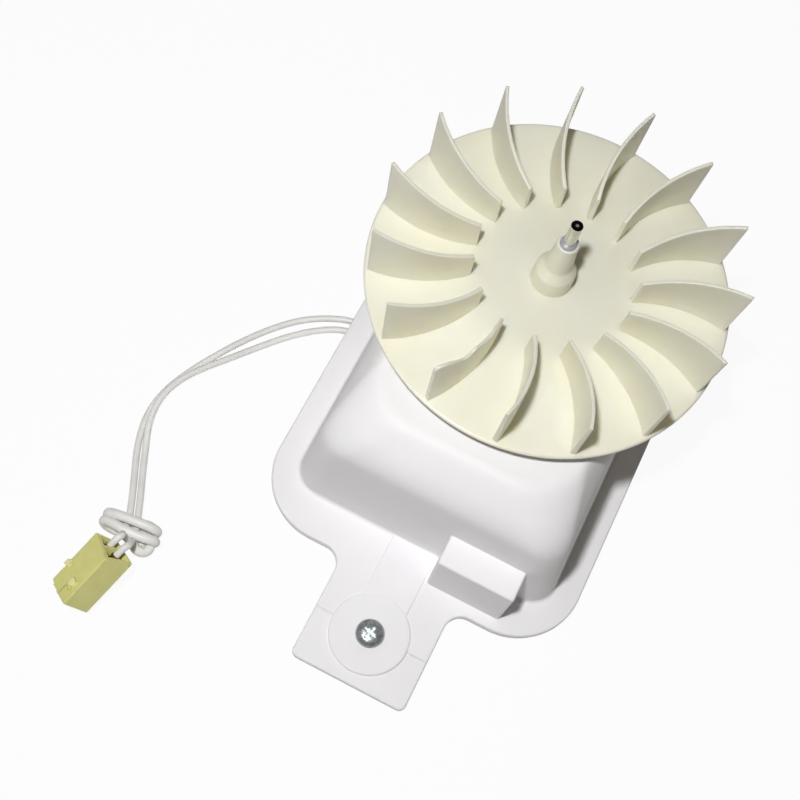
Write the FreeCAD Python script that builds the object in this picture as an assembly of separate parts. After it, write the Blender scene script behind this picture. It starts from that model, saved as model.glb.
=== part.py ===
import FreeCAD, Part
import math
import os

# Freezer fan motor: a moulded housing with a shaded-pole motor inside, an impeller on its shaft,
# and a pair of lead wires that end in a knot and a two-way connector.
# Millimetres. Z is up along the shaft, and the origin is on the shaft axis at the housing's rear face.
# The screw tab points towards -Y and the leads leave the housing on the -X side.

V = FreeCAD.Vector

# Housing plates
rearPlate = 1.8            # thickness of the rear cover
flangePlate = 2.2          # thickness of the front cover's flange
coverHalfWidth = 48.6      # flange edge to the shaft axis along X
coverFrontY = -77.4        # flange edge towards the tab
coverRearY = 53.0          # flange edge away from the tab
coverCorner = 20.0         # plan radius of the flange corners
rearInset = 0.3            # how far the rear cover stays inside the flange outline
tabHalfWidth = 17.5
tabReach = 32.0            # how far the tab stands out of the flange
tabCorner = 2.0
neckFillet = 5.5           # inner curve between flange and tab
plateEdge = 0.5            # rounding of the flange's upper rim

# Screw boss, strip and step on the tab
screwX = -0.4
screwSetback = 17.1        # from the flange's front edge
bossRadius = 11.6
bossRise = 0.5
stripLeftX = -7.3
stripRightX = 6.6
stripRise = 0.35
tabStepDrop = 0.45
wall = 2.0                 # wall of the dome
boxWall = 1.8

# Dome: its foot stands back from the flange's edges, and the levels above draw in from the foot
domeSideSetback = 7.8
domeFrontSetback = 12.1
domeRearSetback = 9.5
domeCorner = 8.0
# height, draft at the sides, front and rear, plan corner radius
shoulderLevel = (30.0, 3.4, 0.2, 2.3, 8.0)
curveLevels = [
    (34.5, 4.1, 0.3, 2.7, 8.3),
    (38.0, 5.0, 0.7, 3.4, 9.2),
    (41.0, 6.1, 2.1, 4.3, 10.5),
    (43.5, 7.3, 4.2, 5.5, 12.0),
    (45.7, 8.5, 6.9, 7.1, 13.5),
    (47.6, 9.9, 9.4, 9.1, 14.5),
    (48.7, 11.5, 11.4, 11.1, 15.0),
    (49.0, 13.4, 13.3, 13.1, 15.0),
]
footFlare = 0.9            # moulded fillet at the foot of the dome
shaftOpening = 6.0         # radius of the hole in the dome
collarWall = 1.6
collarRise = 1.4

# Small box moulded on the front of the dome
boxLeftX = 7.3
boxRightX = 30.2
boxDepth = 8.6             # in front of the dome's foot
boxHeight = 22.2
boxSink = 5.3              # how far its solid runs into the dome's wall

# Locating rim of the rear cover, inside the dome
rimGap = 0.65
rimWall = 1.4
rimHeight = 3.4

# Snap hooks at the rear edge
hookX = 26.0
hookWidth = 6.0
hookThickness = 1.2
hookSetback = 4.0
hookBarb = 0.6
hookLift = 0.3             # the hook stays this far above the resting face
hookGap = 0.2

# Wire outlet in the left edge
outletFrontY = -18.0
outletRearY = -7.2
outletInnerX = -30.5
outletHeadroom = 1.7       # groove in the flange's underside

# Screw that holds the tab
coverScrewRadius = 1.9
coverScrewHead = 4.05
coverScrewHeadHeight = 2.5
coverScrewTip = 0.5
pillarRadius = 4.2
pillarRise = 1.3
pillarGap = 0.2
recessWidth = 1.05
recessTurn = -18.0         # of the cross about the screw's axis, degrees
coverScrewRecess = 2.8     # half length of the cross recess
motorScrewRecess = 1.8
recessDepth = 1.5

# Motor stack
stackBottom = 17.0
stackHeight = 16.0
stackSideRoom = 10.8       # between the stack and the dome's foot
stackRearY = 20.0
armWidth = 12.0
windowFrontY = -34.0
windowRearY = -17.0
limbDepth = 12.0           # the coil limb, along Y
stackCorner = 3.0
tongueLength = 3.0
tongueWidth = 5.0
rotorRadius = 12.7
airGap = 0.4
bridge = 1.5               # thin metal left beside each saturation notch
notchWidth = 2.0

# Shading rings
ringWire = 1.4
ringInner = (9.4, 11.1)    # where one leg passes the stack, in the bore's face
ringOuter = (13.8, 15.0)   # where the other leg passes

# Coil
coilClearance = 0.15
bobbinWall = 1.2
bobbinFlange = 15.0        # half size of the end flanges
bobbinEndGap = 0.4
coilHalf = 13.8
coilCorner = 4.0
tapeWall = 0.4
tapeSetback = 1.2

# Brackets
earRadius = 5.0
earThickness = 2.0
armHalfWidth = 4.5
armThickness = 2.5
armKneeReach = 3.8         # from the screw inwards to the knee
armFootReach = 4.7         # from the knee inwards to the foot
hubRadius = 8.5
hubNear = 4.5              # hub face towards the rotor, from the stack's end face
hubDepth = 7.0
bearingFromStack = 8.0     # bearing centre, from the stack's end face
bearingRadius = 4.6
bearingHalfLength = 3.0
pocketRadius = 6.8
throatRadius = 3.6
retainerThickness = 0.6
feltThickness = 2.4
runningGap = 0.03          # radial, shaft in bearing
fitGap = 0.05

# Motor screws and their rubber washers
motorScrewRadius = 1.75
motorScrewHole = 2.0
motorScrewHead = 3.3
motorScrewHeadHeight = 2.2
motorScrewDepth = 9.0      # length in the post
postRadius = 4.8
ribHalfLength = 10.0
ribHalfThickness = 0.8
rubberThickness = 1.5
rubberRadius = 3.6

# Rotor
shaftRadius = 1.585
shaftBottom = 4.4
shaftReach = 9.2           # above the hub
shaftChamfer = 0.25
cageRingOuter = 12.4
cageRingInner = 6.5
cageRingHeight = 2.0
cageBars = 14
cageBarRadius = 0.95
cageBarCircle = 11.2
collarRadius = 3.0
washerThickness = 0.4
washerRadius = 3.2
thrustGap = 0.15

# Impeller
discRadius = 50.0
discLift = 6.0             # rim's upper face above the dome
discRise = 1.9             # the disc is a shallow cone
discThickness = 1.2
discFlatRadius = 16.0
bladeCount = 15
bladeFirstAngle = 132.7
bladeBase = ((22.0, 0.16), (35.6, 2.5), (48.8, 0.0))      # inner, middle and outer point, radial and sideways
bladeTop = ((22.7, 0.58), (36.3, 2.5), (49.6, -0.24))
bladeHeight = 19.9
bladeInnerHeight = 11.3
bladeThickBase = 1.4
bladeThickTop = 0.9
hubBossRadius = 5.6
hubBossHeight = 8.0
hubShoulder = 2.4          # height of the slope between boss and cone
hubConeBase = 3.6
hubConeTop = 2.95
hubAboveBlades = 1.5
hubUnderRadius = 4.4
hubUnderDepth = 2.2
clipRadius = 2.2
clipGroove = 0.2           # depth of the groove in the shaft
clipThickness = 1.0
clipSink = 0.35
# Top edge of the uneven blade: radius and height above the rim plane, from the rim inwards
unevenBlade = 10
unevenEdge = [(60.0, 19.2), (49.6, 19.2), (48.8, 20.1), (47.4, 20.1), (45.8, 19.6), (44.4, 18.8),
              (42.8, 17.6), (40.8, 16.0), (38.9, 15.9), (37.8, 17.1), (36.6, 17.2), (34.8, 16.4),
              (31.4, 14.8), (28.0, 13.9), (24.4, 11.6), (22.2, 10.2), (20.0, 9.6)]

# Leads: centre lines of the two wires, from the coil to the knot
wireRadius = 1.0
routeA = [
    (-17.6, -36.0, 12.4), (-24.2, -36.0, 12.4), (-28.9, -30.4, 9.4), (-30.4, -21.4, 5.6), (-33.4, -13.2, 2.8),
    (-40.6, -9.5, 1.4), (-48.8, -9.6, 1.25), (-56.0, -12.6, 1.1), (-62.9, -17.2, 1.05), (-69.3, -24.2, 1.0),
    (-74.8, -32.0, 1.05), (-79.6, -40.2, 1.0), (-83.9, -48.8, 1.0), (-87.2, -57.4, 1.0), (-87.9, -66.6, 1.0),
    (-85.6, -75.4, 1.1), (-81.7, -83.6, 1.8), (-77.9, -91.2, 3.2), (-74.9, -98.0, 4.4),
]
routeB = [
    (-17.6, -40.8, 12.4), (-25.2, -40.8, 12.4), (-31.2, -34.4, 9.4), (-33.4, -24.8, 6.0), (-36.0, -16.1, 3.0),
    (-42.6, -12.8, 1.4), (-50.4, -13.8, 1.25), (-57.0, -17.9, 1.1), (-63.4, -23.8, 1.05), (-69.2, -30.8, 1.0),
    (-74.5, -38.0, 1.45), (-79.6, -45.2, 2.75), (-84.0, -52.0, 3.35), (-86.6, -59.8, 3.4),
    (-86.0, -68.2, 2.6), (-82.5, -76.4, 1.1), (-78.8, -84.4, 1.7), (-75.1, -91.8, 3.2), (-72.2, -98.2, 4.5),
]

# Knot, as one closed lump
knotCentre = (-73.2, -101.0, 4.5)
knotHeading = 9.0
knotHalfLength = 8.8
knotHalfDepth = 5.2
knotHalfHeight = 4.4
knotRounding = 4.1

# Connector: it leans on the knot with its far corner on the table
connectorLength = 18.8
connectorWidth = 9.5
connectorHeading = -108.5
connectorTilt = 24.5
connectorRoll = 27.5
connectorCorner = (-78.85, -106.9)    # plan position of its upper left corner at the wire end
connectorEdge = 0.5
cavityRadius = 1.35
cavityDepth = 6.0
cavityPitch = 4.2
cavityInset = 5.0                      # from the upper face to the row of cavities
terminalLength = 9.0
terminalWidth = 2.0
tailBend = 3.4                         # straight approach in front of each cavity
tailSpread = 3.4

# Derived places
tabEndY = coverFrontY - tabReach
screwY = coverFrontY - screwSetback
domeFrontY = coverFrontY + domeFrontSetback
domeHalfWidth = coverHalfWidth - domeSideSetback
domeRearY = coverRearY - domeRearSetback
boxFrontY = domeFrontY - boxDepth
boxBackY = domeFrontY + boxSink
stackHalfWidth = domeHalfWidth - stackSideRoom
motorScrewX = stackHalfWidth - armWidth / 2.0
armKneeX = motorScrewX - armKneeReach
armFootX = armKneeX - armFootReach
flangeTop = rearPlate + flangePlate
stackTop = stackBottom + stackHeight
stackMid = stackBottom + stackHeight / 2.0
limbFrontY = windowFrontY - limbDepth
limbMidY = windowFrontY - limbDepth / 2.0
boreRadius = rotorRadius + airGap
windowHalfWidth = stackHalfWidth - armWidth
bobbinHalfLength = windowHalfWidth - bobbinEndGap
domeTop = flangeTop + curveLevels[-1][0]
discRimZ = domeTop + discLift
hubTopZ = discRimZ + bladeHeight + hubAboveBlades
shaftTip = hubTopZ + shaftReach
over = 1.0                             # how far cutting tools run past a face


def box(x0, x1, y0, y1, z0, z1):
    return Part.makeBox(x1 - x0, y1 - y0, z1 - z0, V(x0, y0, z0))


def cylinder(radius, z0, z1, x=0.0, y=0.0):
    return Part.makeCylinder(radius, z1 - z0, V(x, y, z0))


def ring(outer, inner, z0, z1, x=0.0, y=0.0):
    return cylinder(outer, z0, z1, x, y).cut(cylinder(inner, z0 - over, z1 + over, x, y))


def revolved(points):
    # points are radius and height; the profile turns round the Z axis
    wire = Part.makePolygon([V(r, 0, z) for r, z in points + points[:1]])
    return Part.Face(wire).revolve(V(0, 0, 0), V(0, 0, 1), 360)


def uprightEdges(shape, places, tolerance=0.05):
    # straight edges parallel to Z at the given plan positions
    found = []
    for edge in shape.Edges:
        if not isinstance(edge.Curve, Part.Line) or abs(edge.Curve.Direction.z) < 0.999:
            continue
        point = edge.Vertexes[0].Point
        if any(math.hypot(point.x - x, point.y - y) < tolerance for x, y in places):
            found.append(edge)
    return found


def roundUpright(shape, places, radius):
    edges = uprightEdges(shape, places)
    return shape.makeFillet(radius, edges)


def roundedBox(x0, x1, y0, y1, z0, z1, radius):
    return roundUpright(box(x0, x1, y0, y1, z0, z1), [(x0, y0), (x1, y0), (x1, y1), (x0, y1)], radius)


def coverPlan(z0, z1, inset):
    # the flange outline with its tab, as a plate
    halfWidth = coverHalfWidth - inset
    front = coverFrontY + inset
    rear = coverRearY - inset
    tabHalf = tabHalfWidth - inset
    tabEnd = tabEndY + inset
    plate = roundedBox(-halfWidth, halfWidth, front, rear, z0, z1, coverCorner - inset)
    tab = box(-tabHalf, tabHalf, tabEnd, front + over, z0, z1)
    tab = roundUpright(tab, [(-tabHalf, tabEnd), (tabHalf, tabEnd)], tabCorner)
    plan = plate.fuse(tab).removeSplitter()
    # the neck's curve ends where the rounding of the flange's corner begins
    neck = min(neckFillet, coverHalfWidth - coverCorner - tabHalfWidth - fitGap)
    return roundUpright(plan, [(-tabHalf, front), (tabHalf, front)], neck)


def domeSection(level):
    height, side, front, rear, corner = level
    return (height, domeHalfWidth - side, domeFrontY + front, domeRearY - rear, corner)


domeFoot = domeSection((0.0, 0.0, 0.0, 0.0, domeCorner))
domeShoulder = domeSection(shoulderLevel)
domeCurve = [domeSection(level) for level in curveLevels]


def domeWire(section, inset=0.0, drop=0.0):
    # rounded rectangle of one level of the dome, starting at the same corner every time
    height, half, front, rear, corner = section
    z = flangeTop + height - drop
    x0, x1, y0, y1 = -half + inset, half - inset, front + inset, rear - inset
    r = max(corner - inset, 1.0)
    k = r * (1.0 - math.sqrt(0.5))
    edges = [
        Part.LineSegment(V(x0 + r, y0, z), V(x1 - r, y0, z)),
        Part.Arc(V(x1 - r, y0, z), V(x1 - k, y0 + k, z), V(x1, y0 + r, z)),
        Part.LineSegment(V(x1, y0 + r, z), V(x1, y1 - r, z)),
        Part.Arc(V(x1, y1 - r, z), V(x1 - k, y1 - k, z), V(x1 - r, y1, z)),
        Part.LineSegment(V(x1 - r, y1, z), V(x0 + r, y1, z)),
        Part.Arc(V(x0 + r, y1, z), V(x0 + k, y1 - k, z), V(x0, y1 - r, z)),
        Part.LineSegment(V(x0, y1 - r, z), V(x0, y0 + r, z)),
        Part.Arc(V(x0, y0 + r, z), V(x0 + k, y0 + k, z), V(x0 + r, y0, z)),
    ]
    return Part.Wire([edge.toShape() for edge in edges])


def domeSolid(inset, drop, footZ):
    # straight drafted walls below, a smooth shoulder above; footZ is where the walls start
    start = (footZ - flangeTop + drop,) + domeFoot[1:]
    walls = Part.makeLoft([domeWire(start, inset, drop), domeWire(domeShoulder, inset, drop)], True, True)
    levels = [domeShoulder] + domeCurve
    shoulder = Part.makeLoft([domeWire(level, inset, drop) for level in levels], True, False)
    return walls.fuse(shoulder)


def footEdges(shape):
    # the dome's outline on the flange
    height, half, front, rear, corner = domeFoot
    found = []
    for edge in shape.Edges:
        bounds = edge.BoundBox
        onFlange = abs(bounds.ZMin - flangeTop) < 0.01 and abs(bounds.ZMax - flangeTop) < 0.01
        inside = bounds.XMin > -half - 1.0 and bounds.XMax < half + 1.0 and bounds.YMin > front - 1.0
        if onFlange and inside and bounds.YMax < rear + 1.0:
            found.append(edge)
    return found


def frontCover():
    body = coverPlan(rearPlate, flangeTop, 0.0)
    rim = [edge for edge in body.Edges if min(v.Z for v in edge.Vertexes) > flangeTop - 0.01]
    body = body.makeChamfer(plateEdge, rim)
    outer = body.fuse(domeSolid(0.0, 0.0, flangeTop))
    outer = outer.makeFillet(footFlare, footEdges(outer))
    collar = cylinder(shaftOpening + collarWall, domeTop - wall / 2.0, domeTop + collarRise)
    outer = outer.fuse(collar)
    block = roundUpright(
        box(boxLeftX, boxRightX, boxFrontY, boxBackY, rearPlate, flangeTop + boxHeight),
        [(boxLeftX, boxFrontY), (boxRightX, boxFrontY)], 0.5)
    outer = outer.fuse(block)
    # raised boss and strip, and the lower outer half of the tab
    step = box(-tabHalfWidth - over, tabHalfWidth + over, tabEndY - over, screwY, flangeTop - tabStepDrop,
               flangeTop + over)
    outer = outer.cut(step)
    strip = box(stripLeftX, stripRightX, screwY, domeFoot[2] + over, rearPlate, flangeTop + stripRise)
    boss = cylinder(bossRadius, rearPlate, flangeTop + bossRise, screwX, screwY)
    outer = outer.fuse(strip).fuse(boss)
    # hollow inside
    outer = outer.cut(domeSolid(wall, wall, rearPlate - over))
    outer = outer.cut(box(boxLeftX + boxWall, boxRightX - boxWall, boxFrontY + boxWall, boxBackY + over,
                          rearPlate - over, flangeTop + boxHeight - boxWall))
    outer = outer.cut(cylinder(shaftOpening, domeTop - wall - over, domeTop + collarRise + over))
    outer = outer.cut(cylinder(pillarRadius + pillarGap, rearPlate - over, rearPlate + pillarRise + pillarGap,
                               screwX, screwY))
    outer = outer.cut(cylinder(coverScrewRadius + fitGap, rearPlate, flangeTop + bossRise + over,
                               screwX, screwY))
    outer = outer.cut(box(-coverHalfWidth - over, -domeFoot[1] + wall + over, outletFrontY, outletRearY,
                          rearPlate - over, rearPlate + outletHeadroom))
    for side in (-1, 1):
        outer = outer.fuse(hook(side))
    return outer.removeSplitter()


def hook(side):
    # leg with an outward barb that catches under the rear cover
    outerY = coverRearY - hookSetback
    innerY = outerY - hookThickness
    x0 = side * hookX - hookWidth / 2.0
    profile = [
        (innerY, rearPlate + over / 2.0), (innerY, hookLift),
        (outerY, hookLift), (outerY + hookBarb, hookLift + 0.5),
        (outerY, hookLift + 0.5), (outerY, rearPlate + over / 2.0),
    ]
    wire = Part.makePolygon([V(x0, y, z) for y, z in profile + profile[:1]])
    return Part.Face(wire).extrude(V(hookWidth, 0, 0))


def rearCover():
    plate = coverPlan(0.0, rearPlate, rearInset)
    foot = (rearPlate - flangeTop,) + domeFoot[1:]
    rimInset = wall + rimGap
    tallRim = Part.Face(domeWire(foot, rimInset)).extrude(V(0, 0, rimHeight))
    rimCore = Part.Face(domeWire(foot, rimInset + rimWall)).extrude(V(0, 0, rimHeight + over))
    rim = tallRim.cut(rimCore)
    cover = plate.fuse(rim)
    cover = cover.fuse(cylinder(pillarRadius, 0.0, rearPlate + pillarRise, screwX, screwY))
    postTop = stackBottom - earThickness - rubberThickness
    for side in (-1, 1):
        cover = cover.fuse(cylinder(postRadius, 0.0, postTop, side * motorScrewX))
        cover = cover.fuse(box(side * motorScrewX - ribHalfThickness, side * motorScrewX + ribHalfThickness,
                               -ribHalfLength, ribHalfLength, rearPlate / 2.0, postTop * 0.6))
        cover = cover.cut(cylinder(motorScrewRadius + fitGap, postTop - motorScrewDepth - over,
                                   postTop + over, side * motorScrewX))
        slotX = side * hookX
        outerY = coverRearY - hookSetback
        cover = cover.cut(box(slotX - hookWidth / 2.0 - hookGap, slotX + hookWidth / 2.0 + hookGap,
                              outerY - hookThickness - hookGap, outerY + hookGap, -over, rearPlate + over))
        cover = cover.cut(box(slotX - hookWidth / 2.0 - hookGap, slotX + hookWidth / 2.0 + hookGap,
                              outerY, outerY + hookBarb + hookGap, -over, hookLift + 0.5 + hookGap))
    cover = cover.cut(cylinder(coverScrewRadius + fitGap, coverScrewTip - fitGap,
                               rearPlate + pillarRise + over, screwX, screwY))
    cover = cover.cut(box(-coverHalfWidth - over, outletInnerX, outletFrontY, outletRearY, -over,
                          rearPlate + rimHeight + over))
    return cover.removeSplitter()


def crossRecess(x, y, top, recessReach):
    # cross slot that narrows towards its bottom
    cut = None
    for turn in (0, 90):
        half = recessWidth / 2.0
        high = top + 0.01
        upper = Part.makePolygon([V(-recessReach, -half, high), V(recessReach, -half, high),
                                  V(recessReach, half, high), V(-recessReach, half, high),
                                  V(-recessReach, -half, high)])
        reach = recessReach * 0.45
        width = recessWidth * 0.35
        low = top - recessDepth
        lower = Part.makePolygon([V(-reach, -width, low), V(reach, -width, low), V(reach, width, low),
                                  V(-reach, width, low), V(-reach, -width, low)])
        arm = Part.makeLoft([lower, upper], True, True)
        arm.rotate(V(0, 0, 0), V(0, 0, 1), turn + recessTurn)
        cut = arm if cut is None else cut.fuse(arm)
    cut.translate(V(x, y, 0))
    return cut


def panScrew(shank, head, headHeight, recessReach, seat, tip, x, y):
    crown = seat + headHeight
    profile = [(0, tip), (shank * 0.55, tip), (shank, tip + shank * 0.5), (shank, seat), (head, seat),
               (head, seat + headHeight * 0.42), (head * 0.9, seat + headHeight * 0.72),
               (head * 0.66, seat + headHeight * 0.93), (head * 0.3, crown), (0, crown)]
    screw = revolved(profile)
    screw.translate(V(x, y, 0))
    return screw.cut(crossRecess(x, y, crown, recessReach))


def coverScrew():
    return panScrew(coverScrewRadius, coverScrewHead, coverScrewHeadHeight, coverScrewRecess,
                    flangeTop + bossRise, coverScrewTip, screwX, screwY)


def shadingRings():
    # one closed copper ring round the trailing part of each pole
    rings = []
    dx = ringOuter[0] - ringInner[0]
    dy = ringOuter[1] - ringInner[1]
    span = math.hypot(dx, dy)
    half = ringWire / 2.0
    for turn in (0, 180):
        loop = box(-half, span + half, -half, half, stackBottom - ringWire, stackTop + ringWire)
        loop = loop.cut(box(half, span - half, -half - over, half + over, stackBottom, stackTop))
        loop.rotate(V(0, 0, 0), V(0, 0, 1), math.degrees(math.atan2(dy, dx)))
        loop.translate(V(ringInner[0], ringInner[1], 0))
        loop.rotate(V(0, 0, 0), V(0, 0, 1), turn)
        rings.append(loop)
    return Part.makeCompound(rings)


def tongues(gap):
    cut = None
    for side in (-1, 1):
        x0, x1 = sorted((side * (windowHalfWidth - over), side * (windowHalfWidth + tongueLength)))
        part = box(x0, x1, limbMidY - tongueWidth / 2 - gap, limbMidY + tongueWidth / 2 + gap,
                   stackBottom - (over if gap else 0.0), stackTop + (over if gap else 0.0))
        cut = part if cut is None else cut.fuse(part)
    return cut


def statorCore():
    core = roundedBox(-stackHalfWidth, stackHalfWidth, limbFrontY, stackRearY,
                      stackBottom, stackTop, stackCorner)
    core = core.cut(box(-windowHalfWidth, windowHalfWidth, limbFrontY - over, windowRearY, stackBottom - over,
                        stackTop + over))
    core = core.cut(cylinder(boreRadius, stackBottom - over, stackTop + over))
    for y0, y1 in ((boreRadius - over, stackRearY - bridge), (windowRearY + bridge, -boreRadius + over)):
        core = core.cut(box(-notchWidth / 2, notchWidth / 2, y0, y1, stackBottom - over, stackTop + over))
    core = core.cut(tongues(fitGap))
    for side in (-1, 1):
        core = core.cut(cylinder(motorScrewHole, stackBottom - over, stackTop + over, side * motorScrewX))
    for loop in shadingRings().Solids:
        core = core.cut(loop)
    return core


def coilCore():
    limb = box(-windowHalfWidth, windowHalfWidth, limbFrontY, windowFrontY, stackBottom, stackTop)
    return limb.fuse(tongues(0.0)).removeSplitter()


def spool(half, z, x0, x1, corner):
    # square section round the coil limb, with rounded long edges, lying along X
    block = box(x0, x1, limbMidY - half, limbMidY + half, z - half, z + half)
    edges = [edge for edge in block.Edges if abs(edge.Vertexes[0].X - edge.Vertexes[1].X) > 1.0]
    return block.makeFillet(corner, edges)


def limbTunnel(gap, x0, x1):
    return box(x0, x1, limbFrontY - gap, windowFrontY + gap, stackBottom - gap, stackTop + gap)


def bobbin():
    innerX = bobbinHalfLength - bobbinWall
    tube = limbTunnel(coilClearance + bobbinWall, -innerX - over / 2, innerX + over / 2)
    shape = tube
    for side in (-1, 1):
        x0, x1 = sorted((side * innerX, side * bobbinHalfLength))
        shape = shape.fuse(spool(bobbinFlange, stackMid, x0, x1, 2.0))
    return shape.cut(limbTunnel(coilClearance, -stackHalfWidth, stackHalfWidth)).removeSplitter()


def fieldCoil():
    innerX = bobbinHalfLength - bobbinWall
    winding = spool(coilHalf, stackMid, -innerX, innerX, coilCorner)
    return winding.cut(limbTunnel(coilClearance + bobbinWall, -stackHalfWidth, stackHalfWidth))


def coilTape():
    reach = bobbinHalfLength - bobbinWall - tapeSetback
    outer = spool(coilHalf + tapeWall, stackMid, -reach, reach, coilCorner + tapeWall)
    return outer.cut(spool(coilHalf, stackMid, -stackHalfWidth, stackHalfWidth, coilCorner))


def mirrored(shape, flip):
    # the lower bracket and its parts are the upper ones turned over about the stack's middle
    if flip:
        return shape.mirror(V(0, 0, stackMid), V(0, 0, 1))
    return shape


def bracket(flip):
    # modelled as the upper one: two ears on the stack, sloping arms and a hub with a spherical seat
    earTop = stackTop + earThickness
    hubBottom = stackTop + hubNear
    hubTop = hubBottom + hubDepth
    centre = stackTop + bearingFromStack
    body = cylinder(hubRadius, hubBottom, hubTop)
    for side in (-1, 1):
        path = [
            (motorScrewX, earTop), (armKneeX, earTop), (armFootX, hubBottom + armThickness + 1.0),
            (hubRadius - over, hubBottom + armThickness + 1.0), (hubRadius - over, hubBottom + 1.0),
            (armFootX - 1.2, hubBottom + 1.0), (armKneeX - 1.6, stackTop), (motorScrewX, stackTop),
        ]
        wire = Part.makePolygon([V(side * x, -armHalfWidth, z) for x, z in path + path[:1]])
        arm = Part.Face(wire).extrude(V(0, 2 * armHalfWidth, 0))
        body = body.fuse(arm).fuse(cylinder(earRadius, stackTop, earTop, side * motorScrewX))
    for side in (-1, 1):
        body = body.cut(cylinder(motorScrewHole, stackTop - over, earTop + over, side * motorScrewX))
    body = body.cut(cylinder(throatRadius, hubBottom - over, centre))
    body = body.cut(Part.makeSphere(bearingRadius, V(0, 0, centre)))
    body = body.cut(cylinder(pocketRadius, centre - 0.2, hubTop + over))
    return mirrored(body.removeSplitter(), flip)


def bearing(flip):
    centre = stackTop + bearingFromStack
    ball = Part.makeSphere(bearingRadius, V(0, 0, centre))
    ball = ball.common(cylinder(bearingRadius + over, centre - bearingHalfLength, centre + bearingHalfLength))
    return mirrored(ball.cut(cylinder(shaftRadius + runningGap, centre - hubDepth, centre + hubDepth)), flip)


def retainer(flip):
    # pressed cap that holds the bearing in its seat
    top = stackTop + hubNear + hubDepth - 0.3
    rise = top - retainerThickness - (stackTop + bearingFromStack)
    hole = math.sqrt(bearingRadius ** 2 - rise ** 2) + fitGap
    return mirrored(ring(pocketRadius, hole, top - retainerThickness, top), flip)


def oilFelt(flip):
    low = stackTop + bearingFromStack - 0.2
    return mirrored(ring(pocketRadius - fitGap, bearingRadius + fitGap, low, low + feltThickness), flip)


def motorScrews():
    seat = stackTop + earThickness
    tip = stackBottom - earThickness - rubberThickness - motorScrewDepth
    screws = []
    for side in (-1, 1):
        screws.append(panScrew(motorScrewRadius, motorScrewHead, motorScrewHeadHeight, motorScrewRecess,
                               seat, tip, side * motorScrewX, 0.0))
    return Part.makeCompound(screws)


def rubberMounts():
    top = stackBottom - earThickness
    pads = []
    for side in (-1, 1):
        pads.append(ring(rubberRadius, motorScrewHole, top - rubberThickness, top, side * motorScrewX))
    return Part.makeCompound(pads)


def shaft():
    grooveRadius = shaftRadius - clipGroove
    grooveBottom = hubTopZ - clipSink
    grooveTop = grooveBottom + clipThickness
    profile = [(0, shaftBottom), (shaftRadius - shaftChamfer, shaftBottom),
               (shaftRadius, shaftBottom + shaftChamfer), (shaftRadius, grooveBottom),
               (grooveRadius, grooveBottom), (grooveRadius, grooveTop), (shaftRadius, grooveTop),
               (shaftRadius, shaftTip - shaftChamfer), (shaftRadius - shaftChamfer, shaftTip), (0, shaftTip)]
    return revolved(profile)


def cageBarCuts(radius):
    bars = []
    for index in range(cageBars):
        angle = 2 * math.pi * index / cageBars
        bars.append(cylinder(radius, stackBottom - 0.5, stackTop + 0.5, cageBarCircle * math.cos(angle),
                             cageBarCircle * math.sin(angle)))
    return bars


def rotorCore():
    core = ring(rotorRadius, shaftRadius, stackBottom, stackTop)
    for bar in cageBarCuts(cageBarRadius):
        core = core.cut(bar)
    return core


def rotorCage():
    cage = ring(cageRingOuter, cageRingInner, stackBottom - cageRingHeight, stackBottom)
    cage = cage.fuse(ring(cageRingOuter, cageRingInner, stackTop, stackTop + cageRingHeight))
    for bar in cageBarCuts(cageBarRadius):
        cage = cage.fuse(bar)
    return cage


def spacerCollars():
    reach = bearingFromStack - bearingHalfLength - thrustGap - washerThickness
    upper = ring(collarRadius, shaftRadius, stackTop, stackTop + reach)
    return Part.makeCompound([upper, mirrored(upper, True)])


def thrustWashers():
    high = stackTop + bearingFromStack - bearingHalfLength - thrustGap
    upper = ring(washerRadius, shaftRadius, high - washerThickness, high)
    return Part.makeCompound([upper, mirrored(upper, True)])


def bladeSection(points, thickness, z):
    # slab between two arcs, along the blade's curved middle line
    (x0, y0), (x1, y1), (x2, y2) = points
    half = thickness / 2.0
    outer = [V(x0, y0 + half, z), V(x1, y1 + half, z), V(x2, y2 + half, z)]
    inner = [V(x2, y2 - half, z), V(x1, y1 - half, z), V(x0, y0 - half, z)]
    edges = [Part.Arc(*outer).toShape(), Part.LineSegment(outer[2], inner[0]).toShape(),
             Part.Arc(*inner).toShape(), Part.LineSegment(inner[2], outer[0]).toShape()]
    return Part.Wire(edges)


def blade(uneven):
    low = bladeSection(bladeBase, bladeThickBase, discRimZ - discThickness / 2.0)
    high = bladeSection(bladeTop, bladeThickTop, discRimZ + bladeHeight + 1.0)
    solid = Part.makeLoft([low, high], True, True)
    innerR = bladeBase[0][0]
    outerR = bladeTop[2][0]
    slope = (bladeHeight - bladeInnerHeight) / (outerR - innerR)
    reach = discRadius + 10.0 * over
    ceiling = [(0.0, bladeInnerHeight - slope * innerR), (reach, bladeInnerHeight + slope * (reach - innerR))]
    if uneven:
        ceiling = [(0.0, unevenEdge[-1][1])] + unevenEdge[::-1]
    profile = ceiling + [(ceiling[-1][0], 2 * bladeHeight), (0.0, 2 * bladeHeight)]
    wire = Part.makePolygon([V(r, -discRadius, discRimZ + h) for r, h in profile + profile[:1]])
    return solid.cut(Part.Face(wire).extrude(V(0, 2 * discRadius, 0)))


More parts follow.
